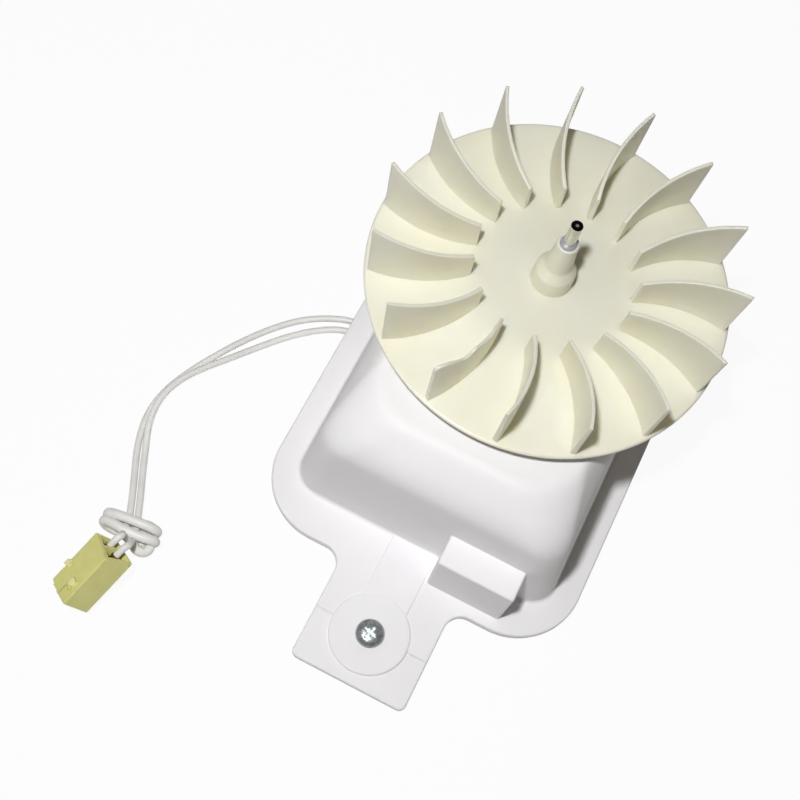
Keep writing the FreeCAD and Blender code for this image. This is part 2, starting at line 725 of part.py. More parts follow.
def impeller():
    centreZ = discRimZ + discRise
    under = discThickness
    boss = centreZ + hubBossHeight
    ledge = hubBossRadius - hubConeBase
    profile = [
        (shaftRadius, centreZ - under - hubUnderDepth), (hubUnderRadius, centreZ - under - hubUnderDepth),
        (hubUnderRadius, centreZ - under), (discFlatRadius, centreZ - under), (discRadius, discRimZ - under),
        (discRadius, discRimZ), (discFlatRadius, centreZ), (hubBossRadius + 0.5, centreZ),
        (hubBossRadius, centreZ + 0.6), (hubBossRadius - ledge * 0.06, boss - hubShoulder),
        (hubBossRadius - ledge * 0.3, boss - hubShoulder * 0.5),
        (hubBossRadius - ledge * 0.7, boss - hubShoulder * 0.12),
        (hubConeBase, boss + hubShoulder * 0.25), (hubConeTop, hubTopZ - 0.3), (hubConeTop - 0.3, hubTopZ),
        (clipRadius + fitGap, hubTopZ), (clipRadius + fitGap, hubTopZ - clipSink),
        (shaftRadius, hubTopZ - clipSink),
    ]
    wheel = revolved(profile)
    for index in range(bladeCount):
        vane = blade(index == unevenBlade)
        vane.rotate(V(0, 0, 0), V(0, 0, 1), bladeFirstAngle - index * 360.0 / bladeCount)
        wheel = wheel.fuse(vane)
    return wheel.removeSplitter()


def hubClip():
    # spring ring in the shaft's groove, against the hub
    low = hubTopZ - clipSink
    return ring(clipRadius, shaftRadius - clipGroove, low, low + clipThickness)


def tubeAlong(points, radius, name):
    # straight runs joined by tangent arcs; each arc is as large as its two runs allow
    route = [V(*p) for p in points]
    edges = []
    length = 0.0
    radii = []
    last = route[0]
    for before, corner, after in zip(route, route[1:], route[2:]):
        inward = (corner - before).normalize()
        outward = (after - corner).normalize()
        half = inward.getAngle(outward) / 2.0
        shorter = min(before.distanceToPoint(corner), corner.distanceToPoint(after))
        cut = 0.45 * shorter
        bend = cut / math.tan(half)
        start = corner - inward * cut
        end = corner + outward * cut
        sideways = (outward - inward).normalize()
        centre = corner + sideways * (bend / math.cos(half))
        middle = centre - sideways * bend
        edges.append(Part.LineSegment(last, start).toShape())
        edges.append(Part.Arc(start, middle, end).toShape())
        length += last.distanceToPoint(start) + 2.0 * half * bend
        radii.append(round(bend, 1))
        last = end
    edges.append(Part.LineSegment(last, route[-1]).toShape())
    length += last.distanceToPoint(route[-1])
    path = Part.Wire(edges)
    disc = Part.Wire(Part.Circle(route[0], route[1] - route[0], radius).toShape())
    tube = path.makePipeShell([disc], True, False)
    expected = math.pi * radius ** 2 * length
    print(name, "length", round(length, 1), "smallest radius", min(radii), "radii", radii,
          "volume ratio", round(tube.Volume / expected, 4))
    return tube


def knot():
    body = box(-knotHalfLength, knotHalfLength, -knotHalfDepth, knotHalfDepth,
               -knotHalfHeight, knotHalfHeight)
    body = body.makeFillet(knotRounding, body.Edges)
    body.rotate(V(0, 0, 0), V(0, 0, 1), knotHeading)
    body.translate(V(*knotCentre))
    return body


def connectorPlacement():
    # local frame: X runs from the wire end to the far end, Y and Z across; Z = 0 is the upper face
    turn = FreeCAD.Rotation(V(0, 0, 1), connectorHeading)
    turn = turn.multiply(FreeCAD.Rotation(V(0, 1, 0), connectorTilt))
    turn = turn.multiply(FreeCAD.Rotation(V(1, 0, 0), connectorRoll))
    lowest = 0.0
    for x in (0.0, connectorLength):
        for y in (0.0, connectorWidth):
            for z in (0.0, -connectorWidth):
                lowest = min(lowest, turn.multVec(V(x, y, z)).z)
    return FreeCAD.Placement(V(connectorCorner[0], connectorCorner[1], -lowest), turn)


def cavityPlaces():
    # local Y and Z of the two wire cavities
    middle = connectorWidth / 2.0
    return [(middle - cavityPitch / 2.0, -cavityInset), (middle + cavityPitch / 2.0, -cavityInset)]


def moved(shape):
    copy = shape.copy()
    copy.Placement = connectorPlacement()
    return copy


def connectorHousing():
    width = connectorWidth
    body = box(0, connectorLength, 0, width, -width, 0)
    body = body.makeChamfer(connectorEdge, body.Edges)
    # latch ramp and keying rib on the upper face, slot along the far half
    ramp = Part.makePolygon([V(10.3, 0, -0.6), V(10.9, 0, 0.72), V(12.2, 0, 0.72), V(12.2, 0, -0.6),
                             V(10.3, 0, -0.6)])
    body = body.fuse(Part.Face(ramp).extrude(V(0, 1.5, 0)))
    body = body.fuse(box(11.9, 14.4, width - 3.7, width - 1.9, -0.3, 0.7))
    body = body.cut(box(13.2, connectorLength + over, 5.0, 5.5, -0.8, over))
    body = body.cut(box(connectorLength - 1.1, connectorLength + over, -over, 0.9, -width - over, over))
    for y, z in cavityPlaces():
        cavity = Part.makeCylinder(cavityRadius, cavityDepth + over, V(-over, y, z), V(1, 0, 0))
        body = body.cut(cavity)
        half = terminalWidth / 2.0 + fitGap
        body = body.cut(box(cavityDepth - 0.1, cavityDepth + terminalLength, y - half, y + half,
                            z - half, z + half))
    return body.removeSplitter()


def connectorTerminals():
    half = terminalWidth / 2.0
    parts = []
    for y, z in cavityPlaces():
        barrel = box(cavityDepth, cavityDepth + terminalLength, y - half, y + half, z - half, z + half)
        parts.append(barrel.cut(box(cavityDepth + 2.0, cavityDepth + terminalLength + over, y - half + 0.4,
                                    y + half - 0.4, z - half + 0.4, z + half - 0.4)))
    return parts


def tailRoute(index):
    # from inside the knot up to the terminal at the bottom of a cavity
    place = connectorPlacement()
    y, z = cavityPlaces()[index]
    seat = place.multVec(V(cavityDepth, y, z))
    mouth = place.multVec(V(-tailBend, y, z))
    start = V(*knotCentre) + V(-1.4 + tailSpread * index, -0.6, 0.6)
    return [tuple(start), tuple(mouth), tuple(seat)]


def save(name, shape):
    if not shape.isValid():
        shape = shape.copy()
        shape.fix(1e-4, 1e-5, 1e-4)
    solids = shape.Solids
    bounds = shape.BoundBox
    print(name, "solids", len(solids), "volume", round(shape.Volume, 1), "valid", shape.isValid(),
          "box", [round(v, 1) for v in (bounds.XMin, bounds.XMax, bounds.YMin, bounds.YMax, bounds.ZMin,
                                         bounds.ZMax)])
    shape.exportStep("parts/" + name + ".step")


def build():
    os.makedirs("parts", exist_ok=True)
    save("front_cover", frontCover())
    save("rear_cover", rearCover())
    save("cover_screw", coverScrew())
    save("stator_core", statorCore())
    save("coil_core", coilCore())
    save("bobbin", bobbin())
    save("field_coil", fieldCoil())
    save("coil_tape", coilTape())
    save("shading_rings", shadingRings())
    for name, flip in (("upper", False), ("lower", True)):
        save(name + "_bracket", bracket(flip))
        save(name + "_bearing", bearing(flip))
        save(name + "_retainer", retainer(flip))
        save(name + "_oil_felt", oilFelt(flip))
    save("motor_screws", motorScrews())
    save("rubber_mounts", rubberMounts())
    save("shaft", shaft())
    save("rotor_core", rotorCore())
    save("rotor_cage", rotorCage())
    save("spacer_collars", spacerCollars())
    save("thrust_washers", thrustWashers())
    save("impeller", impeller())
    save("hub_clip", hubClip())
    save("lead_wire_a", tubeAlong(routeA, wireRadius, "lead_wire_a"))
    save("lead_wire_b", tubeAlong(routeB, wireRadius, "lead_wire_b"))
    save("wire_knot", knot())
    save("lead_tail_a", tubeAlong(tailRoute(0), wireRadius, "lead_tail_a"))
    save("lead_tail_b", tubeAlong(tailRoute(1), wireRadius, "lead_tail_b"))
    save("connector_housing", moved(connectorHousing()))
    save("connector_terminals", Part.makeCompound([moved(part) for part in connectorTerminals()]))


build()
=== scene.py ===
import math
import random

import bmesh
import bpy
from mathutils import Matrix, Vector


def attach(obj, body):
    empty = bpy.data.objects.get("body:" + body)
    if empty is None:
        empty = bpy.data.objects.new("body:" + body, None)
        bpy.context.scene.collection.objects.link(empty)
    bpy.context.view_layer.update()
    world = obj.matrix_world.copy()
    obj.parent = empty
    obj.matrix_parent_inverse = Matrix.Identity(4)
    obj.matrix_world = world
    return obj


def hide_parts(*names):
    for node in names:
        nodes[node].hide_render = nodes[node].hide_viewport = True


# Freezer fan motor: white moulded housing, cream impeller, two leads with a knot and a small plug.
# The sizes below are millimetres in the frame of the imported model.

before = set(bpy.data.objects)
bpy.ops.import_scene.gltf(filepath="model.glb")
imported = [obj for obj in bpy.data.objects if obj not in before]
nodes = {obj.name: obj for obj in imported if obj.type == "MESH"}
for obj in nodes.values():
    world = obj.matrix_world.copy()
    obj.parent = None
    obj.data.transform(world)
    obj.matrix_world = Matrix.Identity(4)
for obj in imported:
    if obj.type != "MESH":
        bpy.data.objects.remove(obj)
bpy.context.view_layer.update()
mm = 0.001
print("frame loaded:", len(nodes), "nodes")


# camera, floor and lights

view = {
    "place": (1.866, -177.949, 364.920),
    "right": (0.889782, 0.440389, 0.119771),
    "up": (-0.451539, 0.811336, 0.371277),
    "back": (0.066332, -0.384437, 0.920765),
    "lens": 58.85,
    "sensor": 36.0,
    "near": 0.01,
    "far": 20.0,
}

# metres and watts
studio = {
    "floorSize": 4.0,
    "floorWhite": 0.78,
    "floorGlow": 0.94,         # how much of the floor is plain white to the camera
    "worldTint": (0.083, 0.075, 0.063),
    "worldWhite": 0.955,
    "glossyShare": 0.25,       # how much of the white surround shows in gloss and metal
    "aim": (0, -0.02, 0.03),
    # place, size and power: a small lamp above the lens and a little to its left, a wide soft one on the left
    "lamps": {"keyLamp": ((-0.060, -0.170, 0.468), 0.031, 1.67), "sideLamp": ((-0.9, -0.45, 0.5), 0.8, 0.4)},
}


def newObject(name, data):
    item = bpy.data.objects.new(name, data)
    bpy.context.scene.collection.objects.link(item)
    return item


def addCamera():
    data = bpy.data.cameras.new("photoCamera")
    data.lens = view["lens"]
    data.sensor_width = view["sensor"]
    data.clip_start = view["near"]
    data.clip_end = view["far"]
    camera = newObject("photoCamera", data)
    turn = Matrix((view["right"], view["up"], view["back"])).transposed().to_4x4()
    camera.matrix_world = Matrix.Translation(Vector(view["place"]) * mm) @ turn
    bpy.context.scene.camera = camera


def addLamp(name, place, size, power):
    data = bpy.data.lights.new(name, "AREA")
    data.shape = "DISK"
    data.size = size
    data.energy = power
    lamp = newObject(name, data)
    lamp.location = place
    lamp.rotation_euler = (Vector(studio["aim"]) - Vector(place)).to_track_quat("-Z", "Y").to_euler()


def emptyTree(owner):
    owner.use_nodes = True
    owner.node_tree.nodes.clear()
    return owner.node_tree


def addNode(tree, kind, values=None):
    # another node's output is linked; any other value goes to the socket of that name or number, or to the node
    node = tree.nodes.new("ShaderNode" + kind)
    for key, value in (values or {}).items():
        if isinstance(value, bpy.types.NodeSocket):
            tree.links.new(value, node.inputs[key])
        elif isinstance(key, int) or key in node.inputs:
            node.inputs[key].default_value = value
        else:
            setattr(node, key, value)
    return node


def calculate(tree, operation, *values):
    return addNode(tree, "Math", {"operation": operation, **dict(enumerate(values))}).outputs[0]


def whiteRays(tree):
    # camera and transmission rays, and a share of the glossy ones
    ray = addNode(tree, "LightPath").outputs
    seen = calculate(tree, "MAXIMUM", ray["Is Camera Ray"], ray["Is Transmission Ray"])
    return calculate(tree, "MULTIPLY_ADD", ray["Is Glossy Ray"], studio["glossyShare"], seen)


def mixTwo(tree, output, share, first, second):
    mixed = addNode(tree, "MixShader", {0: share, 1: first.outputs[0], 2: second.outputs[0]})
    addNode(tree, output, {"Surface": mixed.outputs[0]})


def grey(value):
    return (value, value, value, 1)


def addStudio():
    bpy.ops.mesh.primitive_plane_add(size=studio["floorSize"], location=(0, 0, 0))
    floor = bpy.context.object
    floor.name = "floor"
    material = bpy.data.materials.new("paleFloor")
    tree = emptyTree(material)
    paint = addNode(tree, "BsdfDiffuse", {"Color": grey(studio["floorWhite"])})
    glow = addNode(tree, "Emission", {"Color": grey(1), "Strength": 1.0})
    mixTwo(tree, "OutputMaterial", calculate(tree, "MULTIPLY", whiteRays(tree), studio["floorGlow"]), paint, glow)
    floor.data.materials.append(material)

    world = bpy.data.worlds.new("studio")
    bpy.context.scene.world = world
    tree = emptyTree(world)
    light = addNode(tree, "Background", {"Color": (*studio["worldTint"], 1)})
    plain = addNode(tree, "Background", {"Color": grey(studio["worldWhite"])})
    mixTwo(tree, "OutputWorld", whiteRays(tree), light, plain)
    for name, values in studio["lamps"].items():
        addLamp(name, *values)
    bpy.context.scene.view_settings.view_transform = "Standard"


addCamera()
addStudio()
print("camera, floor and lamps ready")


# materials

def toLinear(hexColour):
    # sRGB hex to the linear values that the shader wants
    values = [int(hexColour[i:i + 2], 16) / 255.0 for i in (0, 2, 4)]
    linear = [v / 12.92 if v <= 0.04045 else ((v + 0.055) / 1.055) ** 2.4 for v in values]
    return (*linear, 1.0)


def perMetre(size):
    # texture scale for a pattern whose features are this many millimetres across
    return 1.0 / (size * mm)


def startMaterial(name):
    material = bpy.data.materials.new(name)
    tree = emptyTree(material)
    return material, tree, addNode(tree, "TexCoord").outputs["Object"]


def endMaterial(tree, values):
    shader = addNode(tree, "BsdfPrincipled", values)
    addNode(tree, "OutputMaterial", {"Surface": shader.outputs[0]})


def blendColours(tree, factor, first, second):
    # a colour is a hex string or another node's output
    first, second = (toLinear(c) if isinstance(c, str) else c for c in (first, second))
    return addNode(tree, "Mix", {"data_type": "RGBA", 0: factor, 6: first, 7: second}).outputs[2]


def spread(tree, source, low=0.0, high=1.0, fromLow=0.3, fromHigh=0.7):
    return addNode(tree, "MapRange", {0: source, 1: fromLow, 2: fromHigh, 3: low, 4: high}).outputs[0]


def noise(tree, place, size, detail=3.0, roughness=0.55):
    values = {"Vector": place, "Scale": perMetre(size), "Detail": detail, "Roughness": roughness}
    return addNode(tree, "TexNoise", values).outputs[0]


def bump(tree, height, distance, strength, onto=None):
    values = {"Height": height, "Strength": strength, "Distance": distance * mm}
    return addNode(tree, "Bump", {**values, "Normal": onto} if onto else values).outputs[0]


mouldings = {
    # white ABS, injection moulded in a polished tool, with faint sink marks and a little dust
    "whiteAbs": {"colour": "F4F3F5", "shade": "F0EFF1", "mottle": 22.0, "rough": (0.55, 0.62), "grain": 0.35,
                 "grainHeight": 0.0006, "sink": 16.0, "sinkHeight": 0.015, "under": 0.06},
    # natural ABS of the impeller, cream and slightly yellowed, with a softer gloss
    "creamAbs": {"colour": "EFEDDD", "shade": "EBE8D5", "mottle": 18.0, "rough": (0.3, 0.4), "grain": 0.4,
                 "grainHeight": 0.001, "sink": 12.0, "sinkHeight": 0.012, "under": 0.7},
    # natural nylon of the bobbin, collars and thrust washers
    "naturalNylon": {"colour": "E2DFD2", "shade": "D6D2C1", "mottle": 6.0, "rough": (0.4, 0.5), "grain": 0.3,
                     "grainHeight": 0.002, "sink": 5.0, "sinkHeight": 0.02, "under": 0.1},
    # unfilled yellow nylon of the plug, a little translucent, with specks of dirt and two small spots on the catches
    # painted paler
    "yellowNylon": {"colour": "E0DE92", "shade": "D8D686", "mottle": 4.0, "rough": (0.38, 0.5), "grain": 0.25,
                    "grainHeight": 0.003, "sink": 3.0, "sinkHeight": 0.03, "under": 0.12, "speck": "6E6A38",
                    "paleSpots": [(-77.69, -121.41, 13.24), (-81.93, -117.03, 11.43)], "pale": "F2F0B4",
                    "paleSpotReach": 1.25},
    # soft PVC insulation of the leads, off-white with handling dirt
    "leadPvc": {"colour": "F0EFED", "shade": "E6E5E2", "mottle": 7.0, "rough": (0.38, 0.5), "grain": 0.4,
                "grainHeight": 0.004, "sink": 4.0, "sinkHeight": 0.02, "ior": 1.5, "under": 0.05, "speck": "C9C6C0"},
    # black rubber of the motor's washers
    "blackRubber": {"colour": "1C1C1D", "shade": "262627", "mottle": 3.0, "rough": (0.7, 0.85), "grain": 0.2,
                    "grainHeight": 0.01, "sink": 3.0, "sinkHeight": 0.01, "ior": 1.52, "under": 0.0},
}
plastic = {"ior": 1.53, "scatter": (1.0, 0.9, 0.7), "scatterDepth": 2.5, "speckSize": 0.9, "wearShare": 0.4,
           "spotCore": 0.75}


def spotMask(tree, place, spots, reach):
    # 1 near any of the spots, falling to 0 at the reach
    mask = None
    for spot in spots:
        values = {"operation": "DISTANCE", 0: place, 1: tuple(c * mm for c in spot)}
        away = addNode(tree, "VectorMath", values).outputs["Value"]
        near = spread(tree, away, 1.0, 0.0, reach * plastic["spotCore"] * mm, reach * mm)
        mask = calculate(tree, "MAXIMUM", mask, near) if mask else near
    return mask


def mouldedPlastic(name, values):
    material, tree, place = startMaterial(name)
    cloud = noise(tree, place, values["mottle"], detail=2.0)
    colour = blendColours(tree, spread(tree, cloud), values["colour"], values["shade"])
    if "speck" in values:
        dots = noise(tree, place, plastic["speckSize"], detail=2.0, roughness=0.6)
        specks = spread(tree, dots, high=0.6, fromLow=0.7, fromHigh=0.76)
        colour = blendColours(tree, specks, colour, values["speck"])
    # two small spots painted in a paler yellow, on the catches
    if "paleSpots" in values:
        spots = spotMask(tree, place, values["paleSpots"], values["paleSpotReach"])
        colour = blendColours(tree, spots, colour, values["pale"])
    wear = noise(tree, place, values["mottle"] * plastic["wearShare"], detail=4.0)
    sink = bump(tree, noise(tree, place, values["sink"], detail=1.0), values["sinkHeight"], strength=0.5)
    grain = noise(tree, place, values["grain"], detail=2.0)
    endMaterial(tree, {
        "IOR": values.get("ior", plastic["ior"]), "Subsurface Weight": values["under"],
        "Subsurface Radius": plastic["scatter"], "Subsurface Scale": plastic["scatterDepth"] * mm,
        "Base Color": colour, "Roughness": spread(tree, wear, *values["rough"]),
        "Normal": bump(tree, grain, values["grainHeight"], strength=0.6, onto=sink),
    })
    return material


metals = {
    # zinc-plated steel screws, dulled by handling
    "zincPlate": {"colour": "B4B7BA", "shade": "7E8185", "size": 1.0, "rough": (0.2, 0.42), "height": 0.02,
                  "metallic": 0.85},
    # ground and polished steel of the shaft; its sawn end is oily and nearly black round the bright centre mark
    "groundSteel": {"colour": "D6D4CE", "shade": "C2C0BB", "size": 0.6, "rough": (0.18, 0.3), "height": 0.003,
                    "turned": True,
                    "patch": {"axis": (0, 0), "from": 0.36, "to": 5.0, "low": 89.4, "high": 95.0, "colour": "1B1A17"}},
    # dark spring steel of the ring on the hub
    "darkSpring": {"colour": "C4C2CC", "shade": "A8A6B0", "size": 0.5, "rough": (0.35, 0.5), "height": 0.006,
                   "metallic": 0.5},
    # punched electrical sheet of the stator and rotor, bluish from annealing, in 0.5 mm layers
    "laminatedSteel": {"colour": "6C7076", "shade": "565A62", "size": 4.0, "rough": (0.4, 0.55), "height": 0.006,
                       "layers": ("Z", 0.5)},
    # copper of the shading rings
    "copperBar": {"colour": "C4713F", "shade": "A85A30", "size": 3.0, "rough": (0.25, 0.4), "height": 0.005},
    # die-cast zinc alloy of the brackets and cast aluminium of the rotor's cage
    "dieCast": {"colour": "A7A9AA", "shade": "8F9193", "size": 1.5, "rough": (0.42, 0.6), "height": 0.02},
    # sintered bronze of the bearings, porous and oily
    "sinteredBronze": {"colour": "9C7446", "shade": "7F5C36", "size": 0.5, "rough": (0.35, 0.55), "height": 0.02},
    # pressed steel of the bearing retainers
    "pressedSteel": {"colour": "A3A4A5", "shade": "8A8B8D", "size": 2.0, "rough": (0.3, 0.45), "height": 0.006},
    # tinned brass of the contacts
    "contactBrass": {"colour": "B08D4A", "shade": "8C6B33", "size": 1.0, "rough": (0.25, 0.4), "height": 0.006},
}
# enamelled copper wire of the winding, and the tab's screw with a painted highlight in the lower part of its cross
# recess
metals["copperWinding"] = {**metals["copperBar"], "layers": ("X", 0.4)}
# painted highlight: a near-white patch in the lower part of the screw's cross recess
metals["zincPaintedHighlight"] = {**metals["zincPlate"], "patch": {"axis": (-0.4, -94.5), "from": 0.0, "to": 2.9, "low": 5.0,
                                                       "high": 6.42, "colour": "F4FBFB"}}
metal = {"roughShare": 0.5, "grainShare": 0.3, "linesPerLayer": 5.0, "lineDepth": 0.08, "turnedSize": 0.12,
         "turnedDepth": 0.004, "turnedStretch": (0.05, 0.05, 1.0)}


def patchMask(tree, place, patch):
    # 1 within a ring round an upright axis and inside a span of heights, else 0
    x, y = patch["axis"]
    moved = addNode(tree, "VectorMath", {"operation": "SUBTRACT", 0: place, 1: (x * mm, y * mm, 0)}).outputs[0]
    apart = addNode(tree, "SeparateXYZ", {0: moved}).outputs
    flat = addNode(tree, "CombineXYZ", {0: apart[0], 1: apart[1]}).outputs[0]
    far = addNode(tree, "VectorMath", {"operation": "LENGTH", 0: flat}).outputs["Value"]
    mask = 1.0
    for source, limit, test in ((far, "from", "GREATER_THAN"), (far, "to", "LESS_THAN"),
                                (apart[2], "low", "GREATER_THAN"), (apart[2], "high", "LESS_THAN")):
        mask = calculate(tree, "MULTIPLY", mask, calculate(tree, test, source, patch[limit] * mm))
    return mask


def metalFinish(name, values):
    material, tree, place = startMaterial(name)
    cloud = noise(tree, place, values["size"], detail=4.0)
    colour = blendColours(tree, spread(tree, cloud), values["colour"], values["shade"])
    rough = spread(tree, noise(tree, place, values["size"] * metal["roughShare"]), *values["rough"])
    surface = bump(tree, noise(tree, place, values["size"] * metal["grainShare"]), values["height"], strength=0.6)
    if "layers" in values:
        # fine lines along stacked sheets or turns of wire; the texture repeats every pi / 10
        axis, pitch = values["layers"]
        scale = perMetre(pitch / metal["linesPerLayer"]) * math.pi / 10.0
        lines = addNode(tree, "TexWave", {"bands_direction": axis, "Scale": scale, "Distortion": 0.3, "Detail": 1.0,
                                          "Vector": place}).outputs[1]
        surface = bump(tree, lines, metal["lineDepth"], strength=0.7, onto=surface)
        colour = blendColours(tree, spread(tree, lines, 0.0, 0.35, fromLow=0.0, fromHigh=0.4), values["shade"], colour)
    if "turned" in values:
        # fine lines round the axis, left by grinding
        stretch = addNode(tree, "Mapping", {"Scale": metal["turnedStretch"], "Vector": place}).outputs[0]
        lines = noise(tree, stretch, metal["turnedSize"], detail=2.0)
        surface = bump(tree, lines, metal["turnedDepth"], strength=0.5, onto=surface)
    # a patch in a colour of its own: the painted highlight in the screw's recess, the dark end of the shaft
    if "patch" in values:
        colour = blendColours(tree, patchMask(tree, place, values["patch"]), colour, values["patch"]["colour"])
    endMaterial(tree, {"Metallic": values.get("metallic", 1.0), "Base Color": colour, "Roughness": rough,
                       "Normal": surface})
    return material


# felt wads and tape, matt, with short fibres or a fine weave: two colours, fibre size and height
fibres = {"oilFelt": ("C8B98C", "A8966A", 0.3, 0.12), "polyesterTape": ("D9C57E", "CBB56B", 0.5, 0.02)}


def fibrous(name, colour, shade, size, height):
    material, tree, place = startMaterial(name)
    fibre = noise(tree, place, size, detail=6.0, roughness=0.7)
    endMaterial(tree, {"IOR": 1.5, "Sheen Weight": 0.2, "Roughness": spread(tree, fibre, 0.75, 0.95),
                       "Base Color": blendColours(tree, spread(tree, fibre), colour, shade),
                       "Normal": bump(tree, fibre, height, strength=0.8)})
    return material


finishes = {name: mouldedPlastic(name, values) for name, values in mouldings.items()}
finishes.update({name: metalFinish(name, values) for name, values in metals.items()})
finishes.update({name: fibrous(name, *values) for name, values in fibres.items()})

finishNodes = {
    "whiteAbs": "front_cover rear_cover", "zincPlate": "cover_screw motor_screws",
    "laminatedSteel": "stator_core coil_core rotor_core", "naturalNylon": "bobbin spacer_collars thrust_washers",
    "copperWinding": "field_coil", "copperBar": "shading_rings", "polyesterTape": "coil_tape",
    "dieCast": "upper_bracket lower_bracket rotor_cage", "sinteredBronze": "upper_bearing lower_bearing",
    "oilFelt": "upper_oil_felt lower_oil_felt", "pressedSteel": "upper_retainer lower_retainer",
    "blackRubber": "rubber_mounts", "groundSteel": "shaft", "darkSpring": "hub_clip", "creamAbs": "impeller",
    "leadPvc": "lead_wire_a lead_wire_b wire_knot lead_tail_a lead_tail_b",
    "yellowNylon": "connector_housing", "contactBrass": "connector_terminals",
}


def paint(piece, finish):
    piece.data.materials.clear()
    piece.data.materials.append(finishes[finish])


for finishName, nodeNames in finishNodes.items():
    for nodeName in nodeNames.split():
        paint(nodes[nodeName], finishName)
print("materials:", len(finishes))


# modelling helpers

def rotation(angle, axis):
    return Matrix.Rotation(math.radians(angle), 4, axis)


def shift(x, y, z):
    return Matrix.Translation((x * mm, y * mm, z * mm))


def only(*pieces):
    # selects the pieces, the first of them active
    bpy.ops.object.select_all(action="DESELECT")
    for piece in pieces:
        piece.select_set(True)
    bpy.context.view_layer.objects.active = pieces[0]


def added(name, scale=(1.0, 1.0, 1.0)):
    # names the new object and puts its place into its mesh
    piece = bpy.context.object
    piece.name = name
    piece.scale = [a * b for a, b in zip(piece.scale, scale)]
    only(piece)
    bpy.ops.object.transform_apply(location=True, rotation=True, scale=True)
    return piece


def edit(piece):
    only(piece)
    bpy.ops.object.mode_set(mode="EDIT")


def leave():
    bpy.ops.object.mode_set(mode="OBJECT")


def selectAll(action="SELECT"):
    bpy.ops.mesh.select_all(action=action)


def pick(piece, kind, test):
    # selects what passes the test: faces by middle and normal, edges by both ends, vertices by place, in mm
    bpy.ops.mesh.select_mode(type=kind)
    selectAll("DESELECT")
    shape = bmesh.from_edit_mesh(piece.data)
    items, facts = {
        "FACE": (shape.faces, lambda face: (face.calc_center_median() / mm, face.normal)),
        "EDGE": (shape.edges, lambda edge: [vertex.co / mm for vertex in edge.verts]),
        "VERT": (shape.verts, lambda vertex: [vertex.co / mm]),
    }[kind]
    for item in items:
        item.select_set(bool(test(*facts(item))))
    shape.select_flush_mode()
    bmesh.update_edit_mesh(piece.data)


def same(a, b):
    # within a hundredth of a millimetre
    return abs(a - b) < 0.01


def extrude(x, y, z):
    bpy.ops.mesh.extrude_region_move(TRANSFORM_OT_translate={"value": (x * mm, y * mm, z * mm)})


def shrink(share, centre):
    bpy.ops.transform.resize(value=share, center_override=[c * mm for c in centre])


def closeMesh(merge=0.0):
    # joins points closer than this, turns the faces outwards and leaves edit mode
    selectAll()
    if merge:
        bpy.ops.mesh.remove_doubles(threshold=merge * mm)
        selectAll()
    bpy.ops.mesh.normals_make_consistent(inside=False)
    leave()


def addBlock(name, low, high):
    centre = [(a + b) / 2.0 * mm for a, b in zip(low, high)]
    bpy.ops.mesh.primitive_cube_add(size=1.0, location=centre, scale=[(b - a) * mm for a, b in zip(low, high)])
    return added(name)


def addRod(name, radius, low, high, x=0.0, y=0.0, sides=96):
    bpy.ops.mesh.primitive_cylinder_add(vertices=sides, radius=radius * mm, depth=(high - low) * mm,
                                        location=(x * mm, y * mm, (low + high) / 2.0 * mm))
    return added(name)


def roundEdges(piece, test, radius, segments=3):
    edit(piece)
    pick(piece, "EDGE", test)
    bpy.ops.mesh.bevel(offset=radius * mm, segments=segments, affect="EDGES", clamp_overlap=True)
    leave()


def roundCorners(radius, segments):
    bpy.ops.mesh.bevel(offset=radius * mm, segments=segments, affect="VERTICES", clamp_overlap=False)


def apply(piece, kind, **settings):
    only(piece)
    modifier = piece.modifiers.new(kind.lower(), kind)
    for key, value in settings.items():
        setattr(modifier, key, value)
    bpy.ops.object.modifier_apply(modifier=modifier.name)


def combine(piece, tool, operation):
    apply(piece, "BOOLEAN", object=tool, operation=operation, solver="EXACT")
    bpy.data.objects.remove(tool, do_unlink=True)


def unite(piece, tool):
    combine(piece, tool, "UNION")


def cut(piece, tool):
    combine(piece, tool, "DIFFERENCE")


def finishPiece(piece, finish, body, node, angle=30.0):
    # angle: edges flatter than this are shaded smooth
    edit(piece)
    closeMesh(merge=0.002)
    paint(piece, finish)
    only(piece)
    bpy.ops.object.shade_smooth_by_angle(angle=math.radians(angle))
    apply(piece, "WEIGHTED_NORMAL", keep_sharp=True, weight=80)
    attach(piece, body)
    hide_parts(node)
    print("piece", piece.name, len(piece.data.polygons), "faces")
    return piece


def turnedShape(name, profile, sides=96, closed=False):
    # a circle drawn out ring by ring; the profile is radius and height, and a closed one ends where it starts
    radius, height = profile[0]
    bpy.ops.mesh.primitive_circle_add(vertices=sides, radius=radius * mm, location=(0, 0, height * mm),
                                      fill_type="NOTHING" if closed else "NGON")
    piece = added(name)
    edit(piece)
    selectAll()
    for nextRadius, nextHeight in profile[1:]:
        extrude(0, 0, nextHeight - height)
        factor = nextRadius / radius
        shrink((factor, factor, 1.0), (0, 0, nextHeight))
        radius, height = nextRadius, nextHeight
    if closed:
        selectAll("DESELECT")
        bpy.ops.mesh.select_non_manifold()
        bpy.ops.mesh.bridge_edge_loops()
    closeMesh(merge=0.0005)
    return piece


# leads: the same points as the tubes in the model

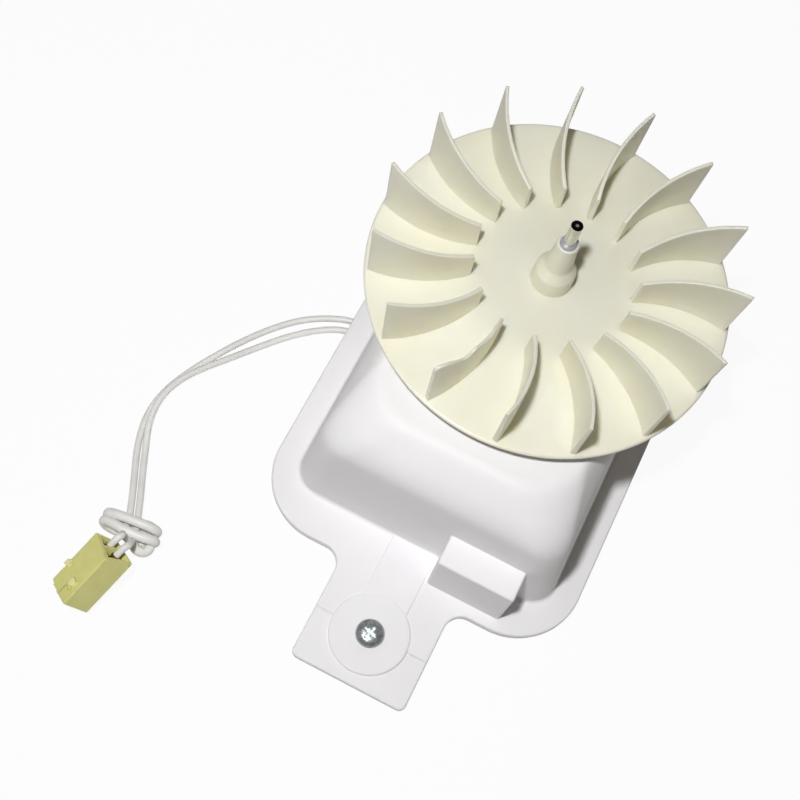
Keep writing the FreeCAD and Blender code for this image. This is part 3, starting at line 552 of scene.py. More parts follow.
leads = {
    "radius": 1.0,
    "routeA": [
        (-17.6, -36.0, 12.4), (-24.2, -36.0, 12.4), (-28.9, -30.4, 9.4), (-30.4, -21.4, 5.6), (-33.4, -13.2, 2.8),
        (-40.6, -9.5, 1.4), (-48.8, -9.6, 1.25), (-56.0, -12.6, 1.1), (-62.9, -17.2, 1.05), (-69.3, -24.2, 1.0),
        (-74.8, -32.0, 1.05), (-79.6, -40.2, 1.0), (-83.9, -48.8, 1.0), (-87.2, -57.4, 1.0), (-87.9, -66.6, 1.0),
        (-85.6, -75.4, 1.1), (-81.7, -83.6, 1.8), (-77.9, -91.2, 3.2), (-74.9, -98.0, 4.4),
    ],
    "routeB": [
        (-17.6, -40.8, 12.4), (-25.2, -40.8, 12.4), (-31.2, -34.4, 9.4), (-33.4, -24.8, 6.0), (-36.0, -16.1, 3.0),
        (-42.6, -12.8, 1.4), (-50.4, -13.8, 1.25), (-57.0, -17.9, 1.1), (-63.4, -23.8, 1.05), (-69.2, -30.8, 1.0),
        (-74.5, -38.0, 1.45), (-79.6, -45.2, 2.75), (-84.0, -52.0, 3.35), (-86.6, -59.8, 3.4), (-86.0, -68.2, 2.6),
        (-82.5, -76.4, 1.1), (-78.8, -84.4, 1.7), (-75.1, -91.8, 3.2), (-72.2, -98.2, 4.5),
    ],
    "lengthA": 155.6,
    "lengthB": 152.3,
}


def wireCurve(name, points, radius, closed=False):
    curve = bpy.data.curves.new(name, "CURVE")
    curve.dimensions = "3D"
    curve.resolution_u = 10
    curve.bevel_depth = radius * mm
    curve.bevel_resolution = 6
    curve.use_fill_caps = True
    line = curve.splines.new("NURBS")
    line.points.add(len(points) - 1)
    for point, place in zip(line.points, points):
        point.co = (place[0] * mm, place[1] * mm, place[2] * mm, 1.0)
    line.order_u = 3
    line.use_cyclic_u = closed
    line.use_endpoint_u = not closed
    curve.materials.append(finishes["leadPvc"])
    return newObject(name, curve)


def solidWire(name, curves):
    # the curves as one mesh
    only(*curves)
    bpy.ops.object.convert(target="MESH")
    if len(curves) > 1:
        bpy.ops.object.join()
    piece = bpy.context.object
    piece.name = name
    return piece


leadA = wireCurve("leadWireA", leads["routeA"], leads["radius"])
leadB = wireCurve("leadWireB", leads["routeB"], leads["radius"])


# impeller

impeller = {
    "discRadius": 50.0, "rimZ": 59.0, "rise": 1.9, "thickness": 1.2, "flatRadius": 16.0,
    # round the rim: inward from the disc's radius, and height from the rim's top
    "rimCurve": [(0.5, -1.2), (0.22, -1.12), (0.06, -0.9), (0.0, -0.75), (0.04, -0.5), (0.16, -0.27), (0.38, -0.09),
                 (0.75, 0.0)],
    "coneRings": (28.0, 40.0), "discSides": 192,
    "bossRadius": 5.6, "bossHeight": 8.0, "shoulder": 2.4, "coneBase": 3.6, "coneTop": 2.95, "hubTopZ": 80.4,
    "underRadius": 4.4, "underDepth": 2.2, "bore": 1.6, "clipSeat": 2.25, "clipSink": 0.35,
    "bladeCount": 15, "firstAngle": 132.7, "arcCentre": (35.4, -35.8), "arcRadius": 38.3, "halfTurn": 20.5,
    "thickBase": 1.4, "thickTop": 0.9, "lean": 0.73, "leanTurn": 1.3, "steps": 26, "edgeRound": 0.28,
    "innerHeight": 11.3, "outerHeight": 19.9, "innerRadius": 22.0, "outerRadius": 49.6,
    # from the boss up to the cone: shares of the ledge's width and of the shoulder's height
    "ledgeCurve": [(0.05, 1.0), (0.13, 0.86), (0.3, 0.6), (0.5, 0.33), (0.7, 0.09), (0.85, -0.1), (0.95, -0.26),
                   (1.0, -0.5)],
    # one blade's top edge is uneven: radius and height above the rim
    "unevenBlade": 10, "unevenSteps": 64, "unevenSeed": 7, "unevenJitter": 0.06, "unevenRound": 0.25,
    "unevenEdge": [(60.0, 19.2), (49.6, 19.2), (48.8, 20.1), (47.4, 20.1), (45.8, 19.6), (44.4, 18.8), (42.8, 17.6),
                   (40.8, 16.0), (38.9, 15.9), (37.8, 17.1), (36.6, 17.2), (34.8, 16.4), (31.4, 14.8), (28.0, 13.9),
                   (24.4, 11.6), (22.2, 10.2), (20.0, 9.6)],
}


def unevenHeight(radius):
    edge = impeller["unevenEdge"]
    for (outerR, outerH), (innerR, innerH) in zip(edge, edge[1:]):
        if outerR >= radius >= innerR:
            share = (radius - innerR) / (outerR - innerR)
            return innerH + share * (outerH - innerH)
    return edge[-1][1]


def makeBlade(uneven):
    # an upright strip spun along the blade's arc, thinned to the top, cut to its slope and rounded
    v = impeller
    start = math.radians(90.0 + v["halfTurn"])
    cx, cy = v["arcCentre"]
    x = cx + v["arcRadius"] * math.cos(start)
    y = cy + v["arcRadius"] * math.sin(start)
    low = v["rimZ"] - v["thickness"] / 2.0
    high = v["rimZ"] + v["outerHeight"] + 1.0
    bpy.ops.mesh.primitive_plane_add(size=1.0, location=(x * mm, y * mm, (low + high) / 2.0 * mm),
                                     rotation=(math.radians(90.0), 0, start))
    blade = added("blade", (v["thickBase"] * mm, (high - low) * mm, 1.0))
    edit(blade)
    selectAll()
    bpy.ops.mesh.spin(steps=v["unevenSteps"] if uneven else v["steps"], angle=math.radians(2.0 * v["halfTurn"]),
                      center=(cx * mm, cy * mm, 0), axis=(0, 0, 1))
    closeMesh(merge=0.002)
    middle = (v["innerRadius"] + v["outerRadius"]) / 2.0
    slope = (v["outerHeight"] - v["innerHeight"]) / (v["outerRadius"] - v["innerRadius"])
    shuffle = random.Random(v["unevenSeed"])
    twist = math.radians(v["leanTurn"])
    for vertex in blade.data.vertices:
        # lean, twist and taper grow with height
        point = vertex.co / mm
        share = (point.z - low) / (high - low)
        offset = Vector((point.x - cx, point.y - cy))
        thin = (v["thickTop"] / v["thickBase"] - 1.0) * share + 1.0
        radius = v["arcRadius"] + (offset.length - v["arcRadius"]) * thin
        offset = offset.normalized() * radius
        px, py = cx + offset.x - middle, cy + offset.y
        turn = -twist * share
        px, py = px * math.cos(turn) - py * math.sin(turn), px * math.sin(turn) + py * math.cos(turn)
        point.x = px + middle + v["lean"] * share
        point.y = py
        if uneven and share > 0.5:
            jitter = shuffle.uniform(-v["unevenJitter"], v["unevenJitter"])
            point.z = v["rimZ"] + unevenHeight(math.hypot(point.x, point.y)) + jitter
        vertex.co = point * mm

    def upperAlong(a, b):
        # the long edges of the uneven top, not those across it
        raised = min(a.z, b.z) > v["rimZ"] + v["innerHeight"] / 2.0
        return raised and abs(math.hypot(a.x - cx, a.y - cy) - math.hypot(b.x - cx, b.y - cy)) < 0.3

    def upper(*points):
        return all(p.z - v["rimZ"] - v["innerHeight"] - slope * (p.x - v["innerRadius"]) > -0.02 for p in points)

    if uneven:
        roundEdges(blade, upperAlong, v["unevenRound"], 2)
    else:
        edit(blade)
        selectAll()
        place = (v["innerRadius"] * mm, 0, (v["rimZ"] + v["innerHeight"]) * mm)
        bpy.ops.mesh.bisect(plane_co=place, plane_no=Vector((-slope, 0, 1)).normalized(), clear_outer=True,
                            use_fill=True)
        leave()
        roundEdges(blade, upper, v["edgeRound"], 2)
    return blade


def makeImpeller():
    v = impeller
    centreZ = v["rimZ"] + v["rise"]
    low = centreZ - v["thickness"]
    foot = low - v["underDepth"]
    boss = centreZ + v["bossHeight"]
    ledge = v["bossRadius"] - v["coneBase"]
    top = v["hubTopZ"]
    seat = top - v["clipSink"]
    bore, under, around, cone = v["bore"], v["underRadius"], v["bossRadius"], v["coneTop"]
    fall = v["rise"] / (v["discRadius"] - v["flatRadius"])
    falls = [(radius, (radius - v["flatRadius"]) * fall) for radius in v["coneRings"]]
    profile = [
        (bore, foot), (under - 0.3, foot), (under, foot + 0.3), (under, low - 0.4), (under + 0.4, low),
        (v["flatRadius"], low), *[(radius, low - drop) for radius, drop in falls],
        *[(v["discRadius"] - inward, v["rimZ"] + rise) for inward, rise in v["rimCurve"]],
        *[(radius, centreZ - drop) for radius, drop in reversed(falls)], (v["flatRadius"], centreZ),
        (around + 0.7, centreZ), (around + 0.2, centreZ + 0.2), (around, centreZ + 0.7),
        *[(around - ledge * inward, boss - v["shoulder"] * drop) for inward, drop in v["ledgeCurve"]],
        (cone, top - 0.3), (cone - 0.09, top - 0.09), (cone - 0.3, top),
        (v["clipSeat"], top), (v["clipSeat"], seat), (bore, seat),
    ]
    wheel = turnedShape("impellerWheel", profile, v["discSides"], closed=True)
    whole = makeBlade(False)
    uneven = makeBlade(True)
    blades = []
    for index in range(v["bladeCount"]):
        source = uneven if index == v["unevenBlade"] else whole
        blade = newObject("blade", source.data.copy())
        blade.data.transform(rotation(v["firstAngle"] - index * 360.0 / v["bladeCount"], "Z"))
        blades.append(blade)
    for source in (whole, uneven):
        bpy.data.objects.remove(source, do_unlink=True)
    only(*blades)
    bpy.ops.object.join()
    unite(wheel, blades[0])
    finishPiece(wheel, "creamAbs", "rotor", "impeller")


makeImpeller()


# shaft and the ring on the hub

shaft = {"radius": 1.585, "bottom": 4.4, "tip": 89.6, "chamfer": 0.25, "groove": 0.2,
         "grooveLow": 80.05, "grooveHigh": 81.05, "clipRadius": 2.2, "clipLower": 0.15, "clipUpper": 0.25,
         # centre mark in the sawn end: radius and depth
         "mark": [(0.5, 0.0), (0.42, 0.35), (0.05, 0.4)]}


def makeShaft():
    v = shaft
    r, c, tip = v["radius"], v["chamfer"], v["tip"]
    inner, low, high, outer = r - v["groove"], v["grooveLow"], v["grooveHigh"], v["clipRadius"]
    profile = [(r - c, v["bottom"]), (r, v["bottom"] + c), (r, low), (inner, low), (inner, high), (r, high),
               (r, tip - c), (r - c, tip), *[(radius, tip - depth) for radius, depth in v["mark"]]]
    rod = turnedShape("shaftRod", profile, sides=48)
    finishPiece(rod, "groundSteel", "rotor", "shaft", angle=32.0)
    a, b = v["clipLower"], v["clipUpper"]
    profile = [(inner, low), (outer - a, low), (outer, low + a), (outer, high - b), (outer - b, high), (inner, high)]
    clip = turnedShape("hubRing", profile, sides=48, closed=True)
    finishPiece(clip, "darkSpring", "rotor", "hub_clip", angle=32.0)


makeShaft()


# front cover

cover = {
    "halfWidth": 48.6, "frontY": -77.4, "rearY": 53.0, "corner": 20.0,
    "tabHalfWidth": 17.5, "tabEndY": -109.4, "tabCorner": 2.0, "neck": 5.5,
    "lowZ": 1.8, "topZ": 4.0, "edge": 0.6,
    "wall": 2.0, "foot": 1.1,
    # height above the flange, half width, front Y, rear Y, plan corner
    "dome": [
        (1.2, 40.66, -65.29, 43.41, 8.0), (8.0, 39.9, -65.25, 42.9, 8.0), (16.0, 38.99, -65.19, 42.27, 8.0),
        (24.0, 38.08, -65.14, 41.66, 8.0), (30.0, 37.4, -65.1, 41.2, 8.0), (34.5, 36.7, -65.0, 40.8, 8.3),
        (36.4, 36.3, -64.85, 40.5, 8.7), (38.0, 35.8, -64.6, 40.1, 9.2), (39.6, 35.3, -64.0, 39.7, 9.8),
        (41.0, 34.7, -63.2, 39.2, 10.5), (42.3, 34.1, -62.2, 38.6, 11.3), (43.5, 33.5, -61.1, 38.0, 12.0),
        (44.6, 32.9, -59.8, 37.3, 12.8), (45.7, 32.3, -58.4, 36.4, 13.5), (46.7, 31.6, -57.1, 35.5, 14.0),
        (47.6, 30.9, -55.9, 34.4, 14.5), (48.3, 30.1, -54.8, 33.4, 14.8), (48.75, 29.2, -53.8, 32.4, 15.0),
        (49.0, 27.4, -52.0, 30.4, 15.0),
    ],
    "footHalf": 40.8, "footFront": -65.3, "footRear": 43.5, "footCorner": 8.0,
    # the fillet round the foot: shares of its radius, outward and up
    "flare": [(1.0, -1.0), (1.0, 0.0), (0.62, 0.08), (0.29, 0.29), (0.08, 0.62)],
    "shaftOpening": 6.0, "collarWall": 1.6, "collarRise": 1.4, "collarEdge": 0.4,
    "boxLeft": 7.3, "boxRight": 30.2, "boxFront": -73.9, "boxRear": -60.0, "boxHeight": 22.2, "boxWall": 1.8,
    "boxEdge": 0.7,
    "screwX": -0.4, "screwY": -94.5, "bossRadius": 11.6, "bossRise": 0.5,
    "stripLeft": -7.3, "stripRight": 6.6, "stripRise": 0.35, "stepDrop": 0.45, "stepSlope": 1.2,
    # rounded shoulder: shares of its width and of the rise
    "shoulder": [(0.0, 0.0), (0.07, 0.3), (0.2, 0.56), (0.4, 0.79), (0.66, 0.94), (1.0, 1.0)],
    "stripShoulder": 0.5, "bossShoulder": 0.8, "stripCorner": 0.5,
    "socketRadius": 4.4, "socketTop": 3.3, "screwHole": 1.95,
    "outletFront": -18.0, "outletRear": -7.2, "outletTop": 3.5, "outletInner": -36.0,
    "hookX": 26.0, "hookWidth": 6.0, "hookOuterY": 49.0, "hookThickness": 1.2, "hookBarb": 0.6, "hookLift": 0.3,
    "hookTip": 0.5,
}


def outlinePlate(name, low, high):
    # the housing's outline: one rectangle, its tab drawn out of the front edge, then the corners rounded
    v = cover
    half, front, rear, tab, end = v["halfWidth"], v["frontY"], v["rearY"], v["tabHalfWidth"], v["tabEndY"]
    bpy.ops.mesh.primitive_plane_add(size=1.0, location=(0, (front + rear) / 2.0 * mm, high * mm))
    plate = added(name, (2.0 * half * mm, (rear - front) * mm, 1.0))
    edit(plate)
    for x in (-tab, tab):
        selectAll()
        bpy.ops.mesh.bisect(plane_co=(x * mm, 0, 0), plane_no=(1, 0, 0))
    pick(plate, "EDGE", lambda a, b: same(a.y, front) and same(b.y, front) and max(abs(a.x), abs(b.x)) < tab + 0.01)
    extrude(0, end - front, 0)
    pick(plate, "EDGE", lambda a, b: (same(abs(a.x), tab) and same(a.x, b.x) and a.y + b.y > 2 * front)
         or (same(a.y, front) and same(b.y, front) and same(a.x, -b.x)))
    bpy.ops.mesh.dissolve_edges(use_verts=False)
    pick(plate, "VERT", lambda p: same(abs(p.x), tab) and same(p.y, rear))
    bpy.ops.mesh.dissolve_verts()
    for test, radius, segments in (
            (lambda p: same(abs(p.x), half), v["corner"], 20), (lambda p: same(p.y, end), v["tabCorner"], 6),
            (lambda p: same(abs(p.x), tab) and same(p.y, front), v["neck"], 10)):
        pick(plate, "VERT", test)
        roundCorners(radius, segments)
    bpy.ops.mesh.select_mode(type="FACE")
    selectAll()
    extrude(0, 0, low - high)
    closeMesh()
    return plate


def ringStack(name, levels, segments=12):
    # rounded rectangles one above the other, bridged and capped; a level is Z, half width, front, rear, corner
    bpy.ops.mesh.primitive_plane_add(size=1.0)
    piece = added(name)
    edit(piece)
    selectAll()
    bpy.ops.mesh.delete(type="VERT")
    for z, half, front, rear, corner in levels:
        bpy.ops.mesh.select_mode(type="VERT")
        selectAll("DESELECT")
        centre = (0, (front + rear) / 2.0, z)
        bpy.ops.mesh.primitive_plane_add(size=1.0, location=[c * mm for c in centre])
        shrink((2.0 * half * mm, (rear - front) * mm, 1.0), centre)
        roundCorners(corner, segments)
        bpy.ops.mesh.delete(type="ONLY_FACE")
    bpy.ops.mesh.select_mode(type="EDGE")
    selectAll()
    bpy.ops.mesh.bridge_edge_loops()
    for z in (levels[0][0], levels[-1][0]):
        pick(piece, "EDGE", lambda a, b: same(a.z, z) and same(b.z, z))
        bpy.ops.mesh.edge_face_add()
    closeMesh()
    return piece


def domeLevels(inset, lowZ):
    v = cover
    if inset:
        levels = [(lowZ, v["footHalf"] - inset, v["footFront"] + inset, v["footRear"] - inset,
                   v["footCorner"] - inset)]
    else:
        levels = [(v["topZ"] + rise * v["foot"], v["footHalf"] + grow, v["footFront"] - grow, v["footRear"] + grow,
                   v["footCorner"] + grow) for grow, rise in [(v["foot"] * share, rise) for share, rise in v["flare"]]]
    for height, half, front, rear, corner in v["dome"]:
        levels.append((v["topZ"] + height - inset, half - inset, front + inset, rear - inset, corner - inset))
    return levels


def makeFrontCover():
    v = cover
    low, top, tab, screwY = v["lowZ"], v["topZ"], v["tabHalfWidth"], v["screwY"]
    plate = outlinePlate("frontCover", low, top)
    # the tab beyond the screw is a little lower, behind a slanted wall
    above = 3.0
    step = addBlock("step", (-tab - 2, v["tabEndY"] - 2, top - v["stepDrop"]), (tab + 2, screwY, top + above))
    edit(step)
    pick(step, "VERT", lambda p: p.y > screwY - 0.01 and p.z > top)
    bpy.ops.transform.translate(value=(0, v["stepSlope"] * (above + v["stepDrop"]) * mm, 0))
    leave()
    cut(plate, step)

    def outerEdge(a, b):
        across = abs(a.x - b.x) > tab and v["tabEndY"] + 1 < a.y < v["frontY"] - 1
        return min(a.z, b.z) > top - v["stepDrop"] - 0.01 and not across

    def boxEdge(a, b):
        front = max(a.y, b.y) < -70 and (same(a.x, b.x) or same(a.z, b.z))
        return front or min(a.z, b.z) > top + 10

    roundEdges(plate, outerEdge, v["edge"])
    unite(plate, ringStack("dome", domeLevels(0.0, top)))
    block = addBlock("box", (v["boxLeft"], v["boxFront"], low + 1.0),
                     (v["boxRight"], v["boxRear"], top + v["boxHeight"]))
    roundEdges(block, boxEdge, v["boxEdge"])
    unite(plate, block)
    # strip and boss with soft shoulders
    middle, half = (v["stripLeft"] + v["stripRight"]) / 2.0, (v["stripRight"] - v["stripLeft"]) / 2.0
    rear = v["footFront"] + 1.0
    corner = v["stripCorner"]
    levels = [(low + 1.0, half, screwY, rear, corner)]
    for inward, rise in v["shoulder"]:
        inset = inward * v["stripShoulder"]
        levels.append((top + rise * v["stripRise"], half - inset, screwY + inset, rear - inset, corner))
    strip = ringStack("strip", levels, 2)
    strip.data.transform(shift(middle, 0, 0))
    unite(plate, strip)
    radius = v["bossRadius"]
    levels = [(radius - inward * v["bossShoulder"], top + rise * v["bossRise"]) for inward, rise in v["shoulder"]]
    boss = turnedShape("boss", [(radius, low + 1.0), *levels], sides=128)
    boss.data.transform(shift(v["screwX"], screwY, 0))
    unite(plate, boss)
    domeTop = top + v["dome"][-1][0]
    collar = addRod("collar", v["shaftOpening"] + v["collarWall"], domeTop - 1.0, domeTop + v["collarRise"])
    roundEdges(collar, lambda a, b: min(a.z, b.z) > domeTop, v["collarEdge"], 2)
    unite(plate, collar)
    cut(plate, ringStack("inside", domeLevels(v["wall"], low - 1.0)))
    wall = v["boxWall"]
    cut(plate, addBlock("boxInside", (v["boxLeft"] + wall, v["boxFront"] + wall, low - 1.0),
                        (v["boxRight"] - wall, v["boxRear"] - 1.0, top + v["boxHeight"] - wall)))
    cut(plate, addRod("opening", v["shaftOpening"], domeTop - 5.0, domeTop + 5.0))
    cut(plate, addRod("socket", v["socketRadius"], 0.0, v["socketTop"], v["screwX"], screwY))
    cut(plate, addRod("hole", v["screwHole"], 2.0, 8.0, v["screwX"], screwY, sides=48))
    cut(plate, addBlock("outlet", (-v["halfWidth"] - 2, v["outletFront"], 0.0),
                        (v["outletInner"], v["outletRear"], v["outletTop"])))
    outer, lift, tip = v["hookOuterY"], v["hookLift"], v["hookLift"] + v["hookTip"]
    for x in (-v["hookX"], v["hookX"]):
        leg = addBlock("hook", (x - v["hookWidth"] / 2, outer - v["hookThickness"], lift),
                       (x + v["hookWidth"] / 2, outer, low + 0.6))
        edit(leg)
        pick(leg, "FACE", lambda c, n: n.y > 0.9)
        bpy.ops.mesh.bisect(plane_co=(0, 0, tip * mm), plane_no=(0, 0, 1))
        pick(leg, "FACE", lambda c, n: n.y > 0.9 and c.z < tip)
        extrude(0, v["hookBarb"], 0)
        leave()
        unite(plate, leg)
    finishPiece(plate, "whiteAbs", "housing", "front_cover")


makeFrontCover()


# tab screw

screw = {"x": -0.4, "y": -94.5, "shank": 1.9, "head": 4.05, "rise": 2.5, "seat": 4.5, "tip": 0.5, "headEdge": 0.15,
         # shares of the shank's radius, and heights above its tip
         "point": [(0.4, 0.0), (0.6, 0.1), (1.0, 1.0)],
         # shares of the head's radius, and heights above its seat
         "crown": [(1.0, 0.9), (0.97, 1.25), (0.9, 1.65), (0.8, 1.98), (0.66, 2.25), (0.5, 2.4), (0.3, 2.48)],
         "recessWidth": 1.05, "recessReach": 2.8, "recessDepth": 1.5, "recessTurn": -18.0,
         "recessTaper": (0.45, 0.5, 1.0)}


def makeScrew():
    v = screw
    seat, top, head, edge, shank = v["seat"], v["seat"] + v["rise"], v["head"], v["headEdge"], v["shank"]
    profile = [*[(shank * share, v["tip"] + rise) for share, rise in v["point"]], (shank, seat),
               (head - edge, seat), (head, seat + edge), *[(head * share, seat + rise) for share, rise in v["crown"]],
               (0.1, top)]
    piece = turnedShape("tabScrew", profile, sides=64)
    reach, width, floor = v["recessReach"], v["recessWidth"] / 2.0, top - v["recessDepth"]
    for turn in (0.0, 90.0):
        arm = addBlock("arm", (-reach, -width, floor), (reach, width, top + 0.2))
        edit(arm)
        pick(arm, "FACE", lambda c, n: n.z < -0.9)
        shrink(v["recessTaper"], (0, 0, floor))
        leave()
        arm.data.transform(rotation(v["recessTurn"] + turn, "Z"))
        cut(piece, arm)
    piece.data.transform(shift(v["x"], v["y"], 0))
    # zinc with a painted highlight in its recess
    finishPiece(piece, "zincPaintedHighlight", "housing", "cover_screw", angle=40.0)


makeScrew()


# knot, plug and the short ends between them

knot = {
    "centre": (-73.2, -101.0, 4.5), "heading": 9.0,
    # radius of each strand, whether it is a closed turn, and its centre line from the knot's centre: along the
    # turns, across them, and up
    "strands": [
        (1.42, True, [(-5.4, 3.5, 2.8), (-1.0, 3.35, 3.1), (4.2, 3.1, 2.9), (7.3, 3.0, 1.9), (7.3, 2.9, -1.4),
                      (4.4, 2.8, -2.9), (-4.2, 2.9, -2.9), (-7.3, 3.1, -1.4), (-7.4, 3.5, 1.8)]),
        (1.42, True, [(-5.6, 1.0, 2.9), (-1.0, -0.1, 3.2), (4.6, -0.5, 2.9), (7.9, 0.0, 1.9), (7.8, 0.2, -1.4),
                      (4.4, 0.1, -2.9), (-4.2, 0.3, -2.9), (-7.5, 0.8, -1.4), (-7.7, 1.2, 1.8)]),
        (1.38, False, [(0.4, 0.2, 1.2), (1.9, -2.0, 1.4), (3.4, -3.7, 0.7), (5.6, -3.9, -0.3), (7.0, -2.3, -1.0),
                       (6.7, -0.6, -1.2), (4.6, 0.8, -1.0)]),
        (1.0, False, [(1.2, 3.6, 0.2), (3.2, 4.15, 1.0), (5.4, 4.0, 1.5), (7.2, 3.3, 0.9), (7.2, 2.9, -0.4)]),
        (1.0, False, [(-1.2, 3.3, -0.1), (-1.6, 1.4, 0.2), (-1.48, -0.37, 0.6)]),
        (1.0, False, [(1.4, 2.7, 0.0), (1.8, 0.8, 0.2), (1.88, -0.9, 0.6)]),
        (1.0, False, [(-5.0, 3.2, 0.4), (-3.2, 0.6, -0.6), (0.2, -1.6, -1.4), (3.4, -1.8, -1.9), (5.2, -0.2, -1.8)]),
    ],
    # where the two tails start, from the knot's centre
    "tailStarts": [(-1.4, -0.6, 0.6), (2.0, -0.6, 0.6)],
}
plug = {
    "length": 18.8, "width": 9.5, "heading": -108.5, "tilt": 24.5, "roll": 27.5, "corner": (-78.85, -106.9),
    "edge": 0.5, "cavity": 1.35, "cavityDepth": 6.0, "pitch": 4.2, "inset": 5.0, "tailBend": 3.4, "tailHump": 0.8,
    "tailDip": 0.55,
    "mouth": 1.75, "mouthDepth": 3.4, "mouthZ": (-8.6, -1.1), "mouthTaper": (1.0, 0.86, 0.86),
    "slant": (90.25, -18.05, -16.15), "slantBlock": ((-6, -20, -20), (0, 20, 20)),
    "chamberHalf": 1.05, "chamberLength": 9.0,
    # blocks on and in the upper face and the far end, each from its low to its high corner
    "latch": ((10.3, -0.2, -0.6), (12.2, 1.5, 0.72)), "latchSlope": 0.5,
    "relief": ((12.2, -1, -0.5), (13.4, 1.2, 1)), "pocket": ((14.4, 5.7, -0.7), (15.4, 7.7, 1)),
    "rib": ((11.9, 5.8, -0.4), (14.4, 7.6, 0.74)), "ribEdge": 0.15,
    "slit": ((12.6, 5.1, -0.8), (20.8, 5.5, 2)), "key": ((17.7, -2, -11.5), (20.8, 0.9, 2)),
    "step": ((17.9, -2, -0.9), (20.8, 4.2, 2)),
    "contactWidth": 2.0, "contactStart": 2.2, "contactLength": 9.0, "contactEdge": 0.3, "contactHollow": 3.0,
    "neck": (-0.6, 2.8), "neckHalf": 0.5, "neckThick": 0.5, "barrel": 1.3, "barrelWall": 0.18,
    "barrelStart": 0.9, "barrelGap": 0.2,
}
# the two wires' places across the plug
plugRows = [plug["width"] / 2.0 + side * plug["pitch"] for side in (-0.5, 0.5)]


def plugMatrix():
    v = plug
    turn = rotation(v["heading"], "Z") @ rotation(v["tilt"], "Y") @ rotation(v["roll"], "X")
    corners = [(x, y, z) for x in (0.0, v["length"]) for y in (0.0, v["width"]) for z in (0.0, -v["width"])]
    lowest = min((turn @ Vector(corner)).z for corner in corners)
    return shift(*v["corner"], -lowest) @ turn


def makeKnot():
    # two turns side by side round the pair, a bight below them and the wires that pass through
    turn = Matrix.Translation(Vector(knot["centre"])) @ rotation(knot["heading"], "Z")
    strands = [wireCurve("knotStrand", [turn @ Vector(p) for p in points], radius, closed=closed)
               for radius, closed, points in knot["strands"]]
    return finishPiece(solidWire("leadKnot", strands), "leadPvc", "housing", "wire_knot", angle=60.0)


def makeTails():
    v = plug
    place = plugMatrix()
    pieces = []
    for letter, node, y, start in zip("AB", ("lead_tail_a", "lead_tail_b"), plugRows, knot["tailStarts"]):
        def inPlug(x, lift=0.0):
            return place @ (Vector((x, y, -v["inset"] - lift)) * mm) / mm

        start = Vector(knot["centre"]) + Vector(start)
        over = inPlug(-v["tailBend"], v["tailHump"])
        points = [start, (start + over) / 2.0, over, inPlug(-v["tailBend"] * v["tailDip"]), inPlug(1.0),
                  inPlug(v["cavityDepth"])]
        tail = solidWire("leadTail" + letter, [wireCurve("tailStrand", points, leads["radius"])])
        pieces.append(finishPiece(tail, "leadPvc", "housing", node, angle=60.0))
    return pieces


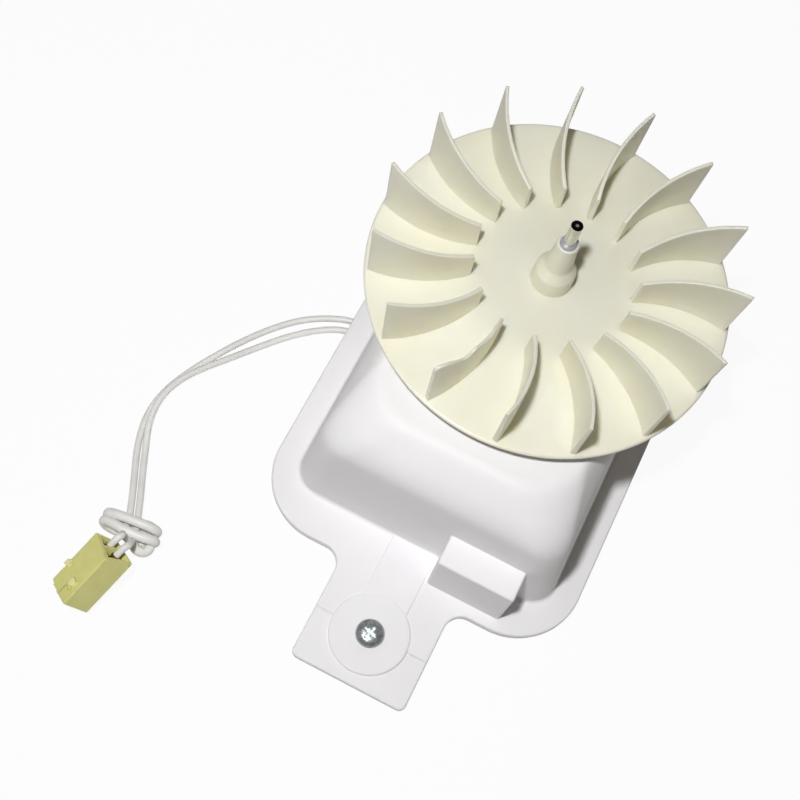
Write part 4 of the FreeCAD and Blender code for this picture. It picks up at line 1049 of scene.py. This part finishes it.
def makePlug():
    v = plug
    body = addBlock("plugHousing", (0, 0, -v["width"]), (v["length"], v["width"], 0))
    roundEdges(body, lambda a, b: True, v["edge"])
    # the wire end is bevelled towards its upper right corner
    slant = addBlock("slant", *v["slantBlock"])
    slant.data.transform(Vector((1, 0, 0)).rotation_difference(Vector(v["slant"])).to_matrix().to_4x4())
    cut(body, slant)
    latch = addBlock("latch", *v["latch"])
    edit(latch)
    pick(latch, "EDGE", lambda a, b: min(a.z, b.z) > 0.5 and max(a.x, b.x) < 11)
    bpy.ops.transform.translate(value=(v["latchSlope"] * mm, 0, 0))
    leave()
    unite(body, latch)
    for name in ("relief", "pocket"):
        cut(body, addBlock(name, *v[name]))
    rib = addBlock("rib", *v["rib"])
    roundEdges(rib, lambda a, b: min(a.z, b.z) > 0.5, v["ribEdge"], 2)
    unite(body, rib)
    for name in ("slit", "key", "step"):
        cut(body, addBlock(name, *v[name]))
    low, high = v["mouthZ"]
    half, start, inset = v["chamberHalf"], v["cavityDepth"], v["inset"]
    for y in plugRows:
        funnel = addBlock("funnel", (-1.0, y - v["mouth"], low), (v["mouthDepth"], y + v["mouth"], high))
        edit(funnel)
        pick(funnel, "FACE", lambda c, n: n.x > 0.9)
        shrink(v["mouthTaper"], (0, y, (low + high) / 2.0))
        leave()
        cut(body, funnel)
        bore = addRod("bore", v["cavity"], 0, v["cavityDepth"] + 2.0, sides=40)
        bore.data.transform(shift(-2.0, y, -inset) @ rotation(90, "Y"))
        cut(body, bore)
        cut(body, addBlock("chamber", (start - 0.1, y - half, -inset - half),
                           (start + v["chamberLength"], y + half, -inset + half)))
    body.data.transform(plugMatrix())
    return finishPiece(body, "yellowNylon", "housing", "connector_housing", angle=35.0)


def makeContacts():
    # a folded box, a neck and a crimp barrel round each wire
    v = plug
    half, start, inset = v["contactWidth"] / 2.0, v["cavityDepth"], v["inset"]
    pieces = []
    for y in plugRows:
        box = addBlock("contact", (start + v["contactStart"], y - half, -inset - half),
                       (start + v["contactLength"], y + half, -inset + half))
        roundEdges(box, lambda a, b: abs(a.x - b.x) > 1.0, v["contactEdge"], 2)
        edit(box)
        pick(box, "FACE", lambda c, n: n.x > 0.9)
        bpy.ops.mesh.inset(thickness=v["contactEdge"] * mm)
        extrude(-v["contactHollow"], 0, 0)
        leave()
        near, far = v["neck"]
        unite(box, addBlock("neck", (start + near, y - v["neckHalf"], -inset - half),
                            (start + far, y + v["neckHalf"], -inset - half + v["neckThick"])))
        barrel = addRod("barrel", v["barrel"], v["barrelStart"], start - v["barrelGap"], sides=32)
        edit(barrel)
        pick(barrel, "FACE", lambda c, n: abs(n.z) > 0.9)
        bpy.ops.mesh.inset(thickness=v["barrelWall"] * mm)
        bpy.ops.mesh.bridge_edge_loops()
        leave()
        barrel.data.transform(shift(0, y, -inset) @ rotation(90, "Y"))
        pieces += [box, barrel]
    only(*pieces)
    bpy.ops.object.join()
    pieces[0].name = "plugContacts"
    pieces[0].data.transform(plugMatrix())
    return finishPiece(pieces[0], "contactBrass", "housing", "connector_terminals", angle=35.0)


knotPiece = makeKnot()
tailPieces = makeTails()
plugPiece = makePlug()
contactPiece = makeContacts()

for piece, node, points, length in ((leadA, "lead_wire_a", leads["routeA"], leads["lengthA"]),
                                    (leadB, "lead_wire_b", leads["routeB"], leads["lengthB"])):
    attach(piece, "housing")
    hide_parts(node)
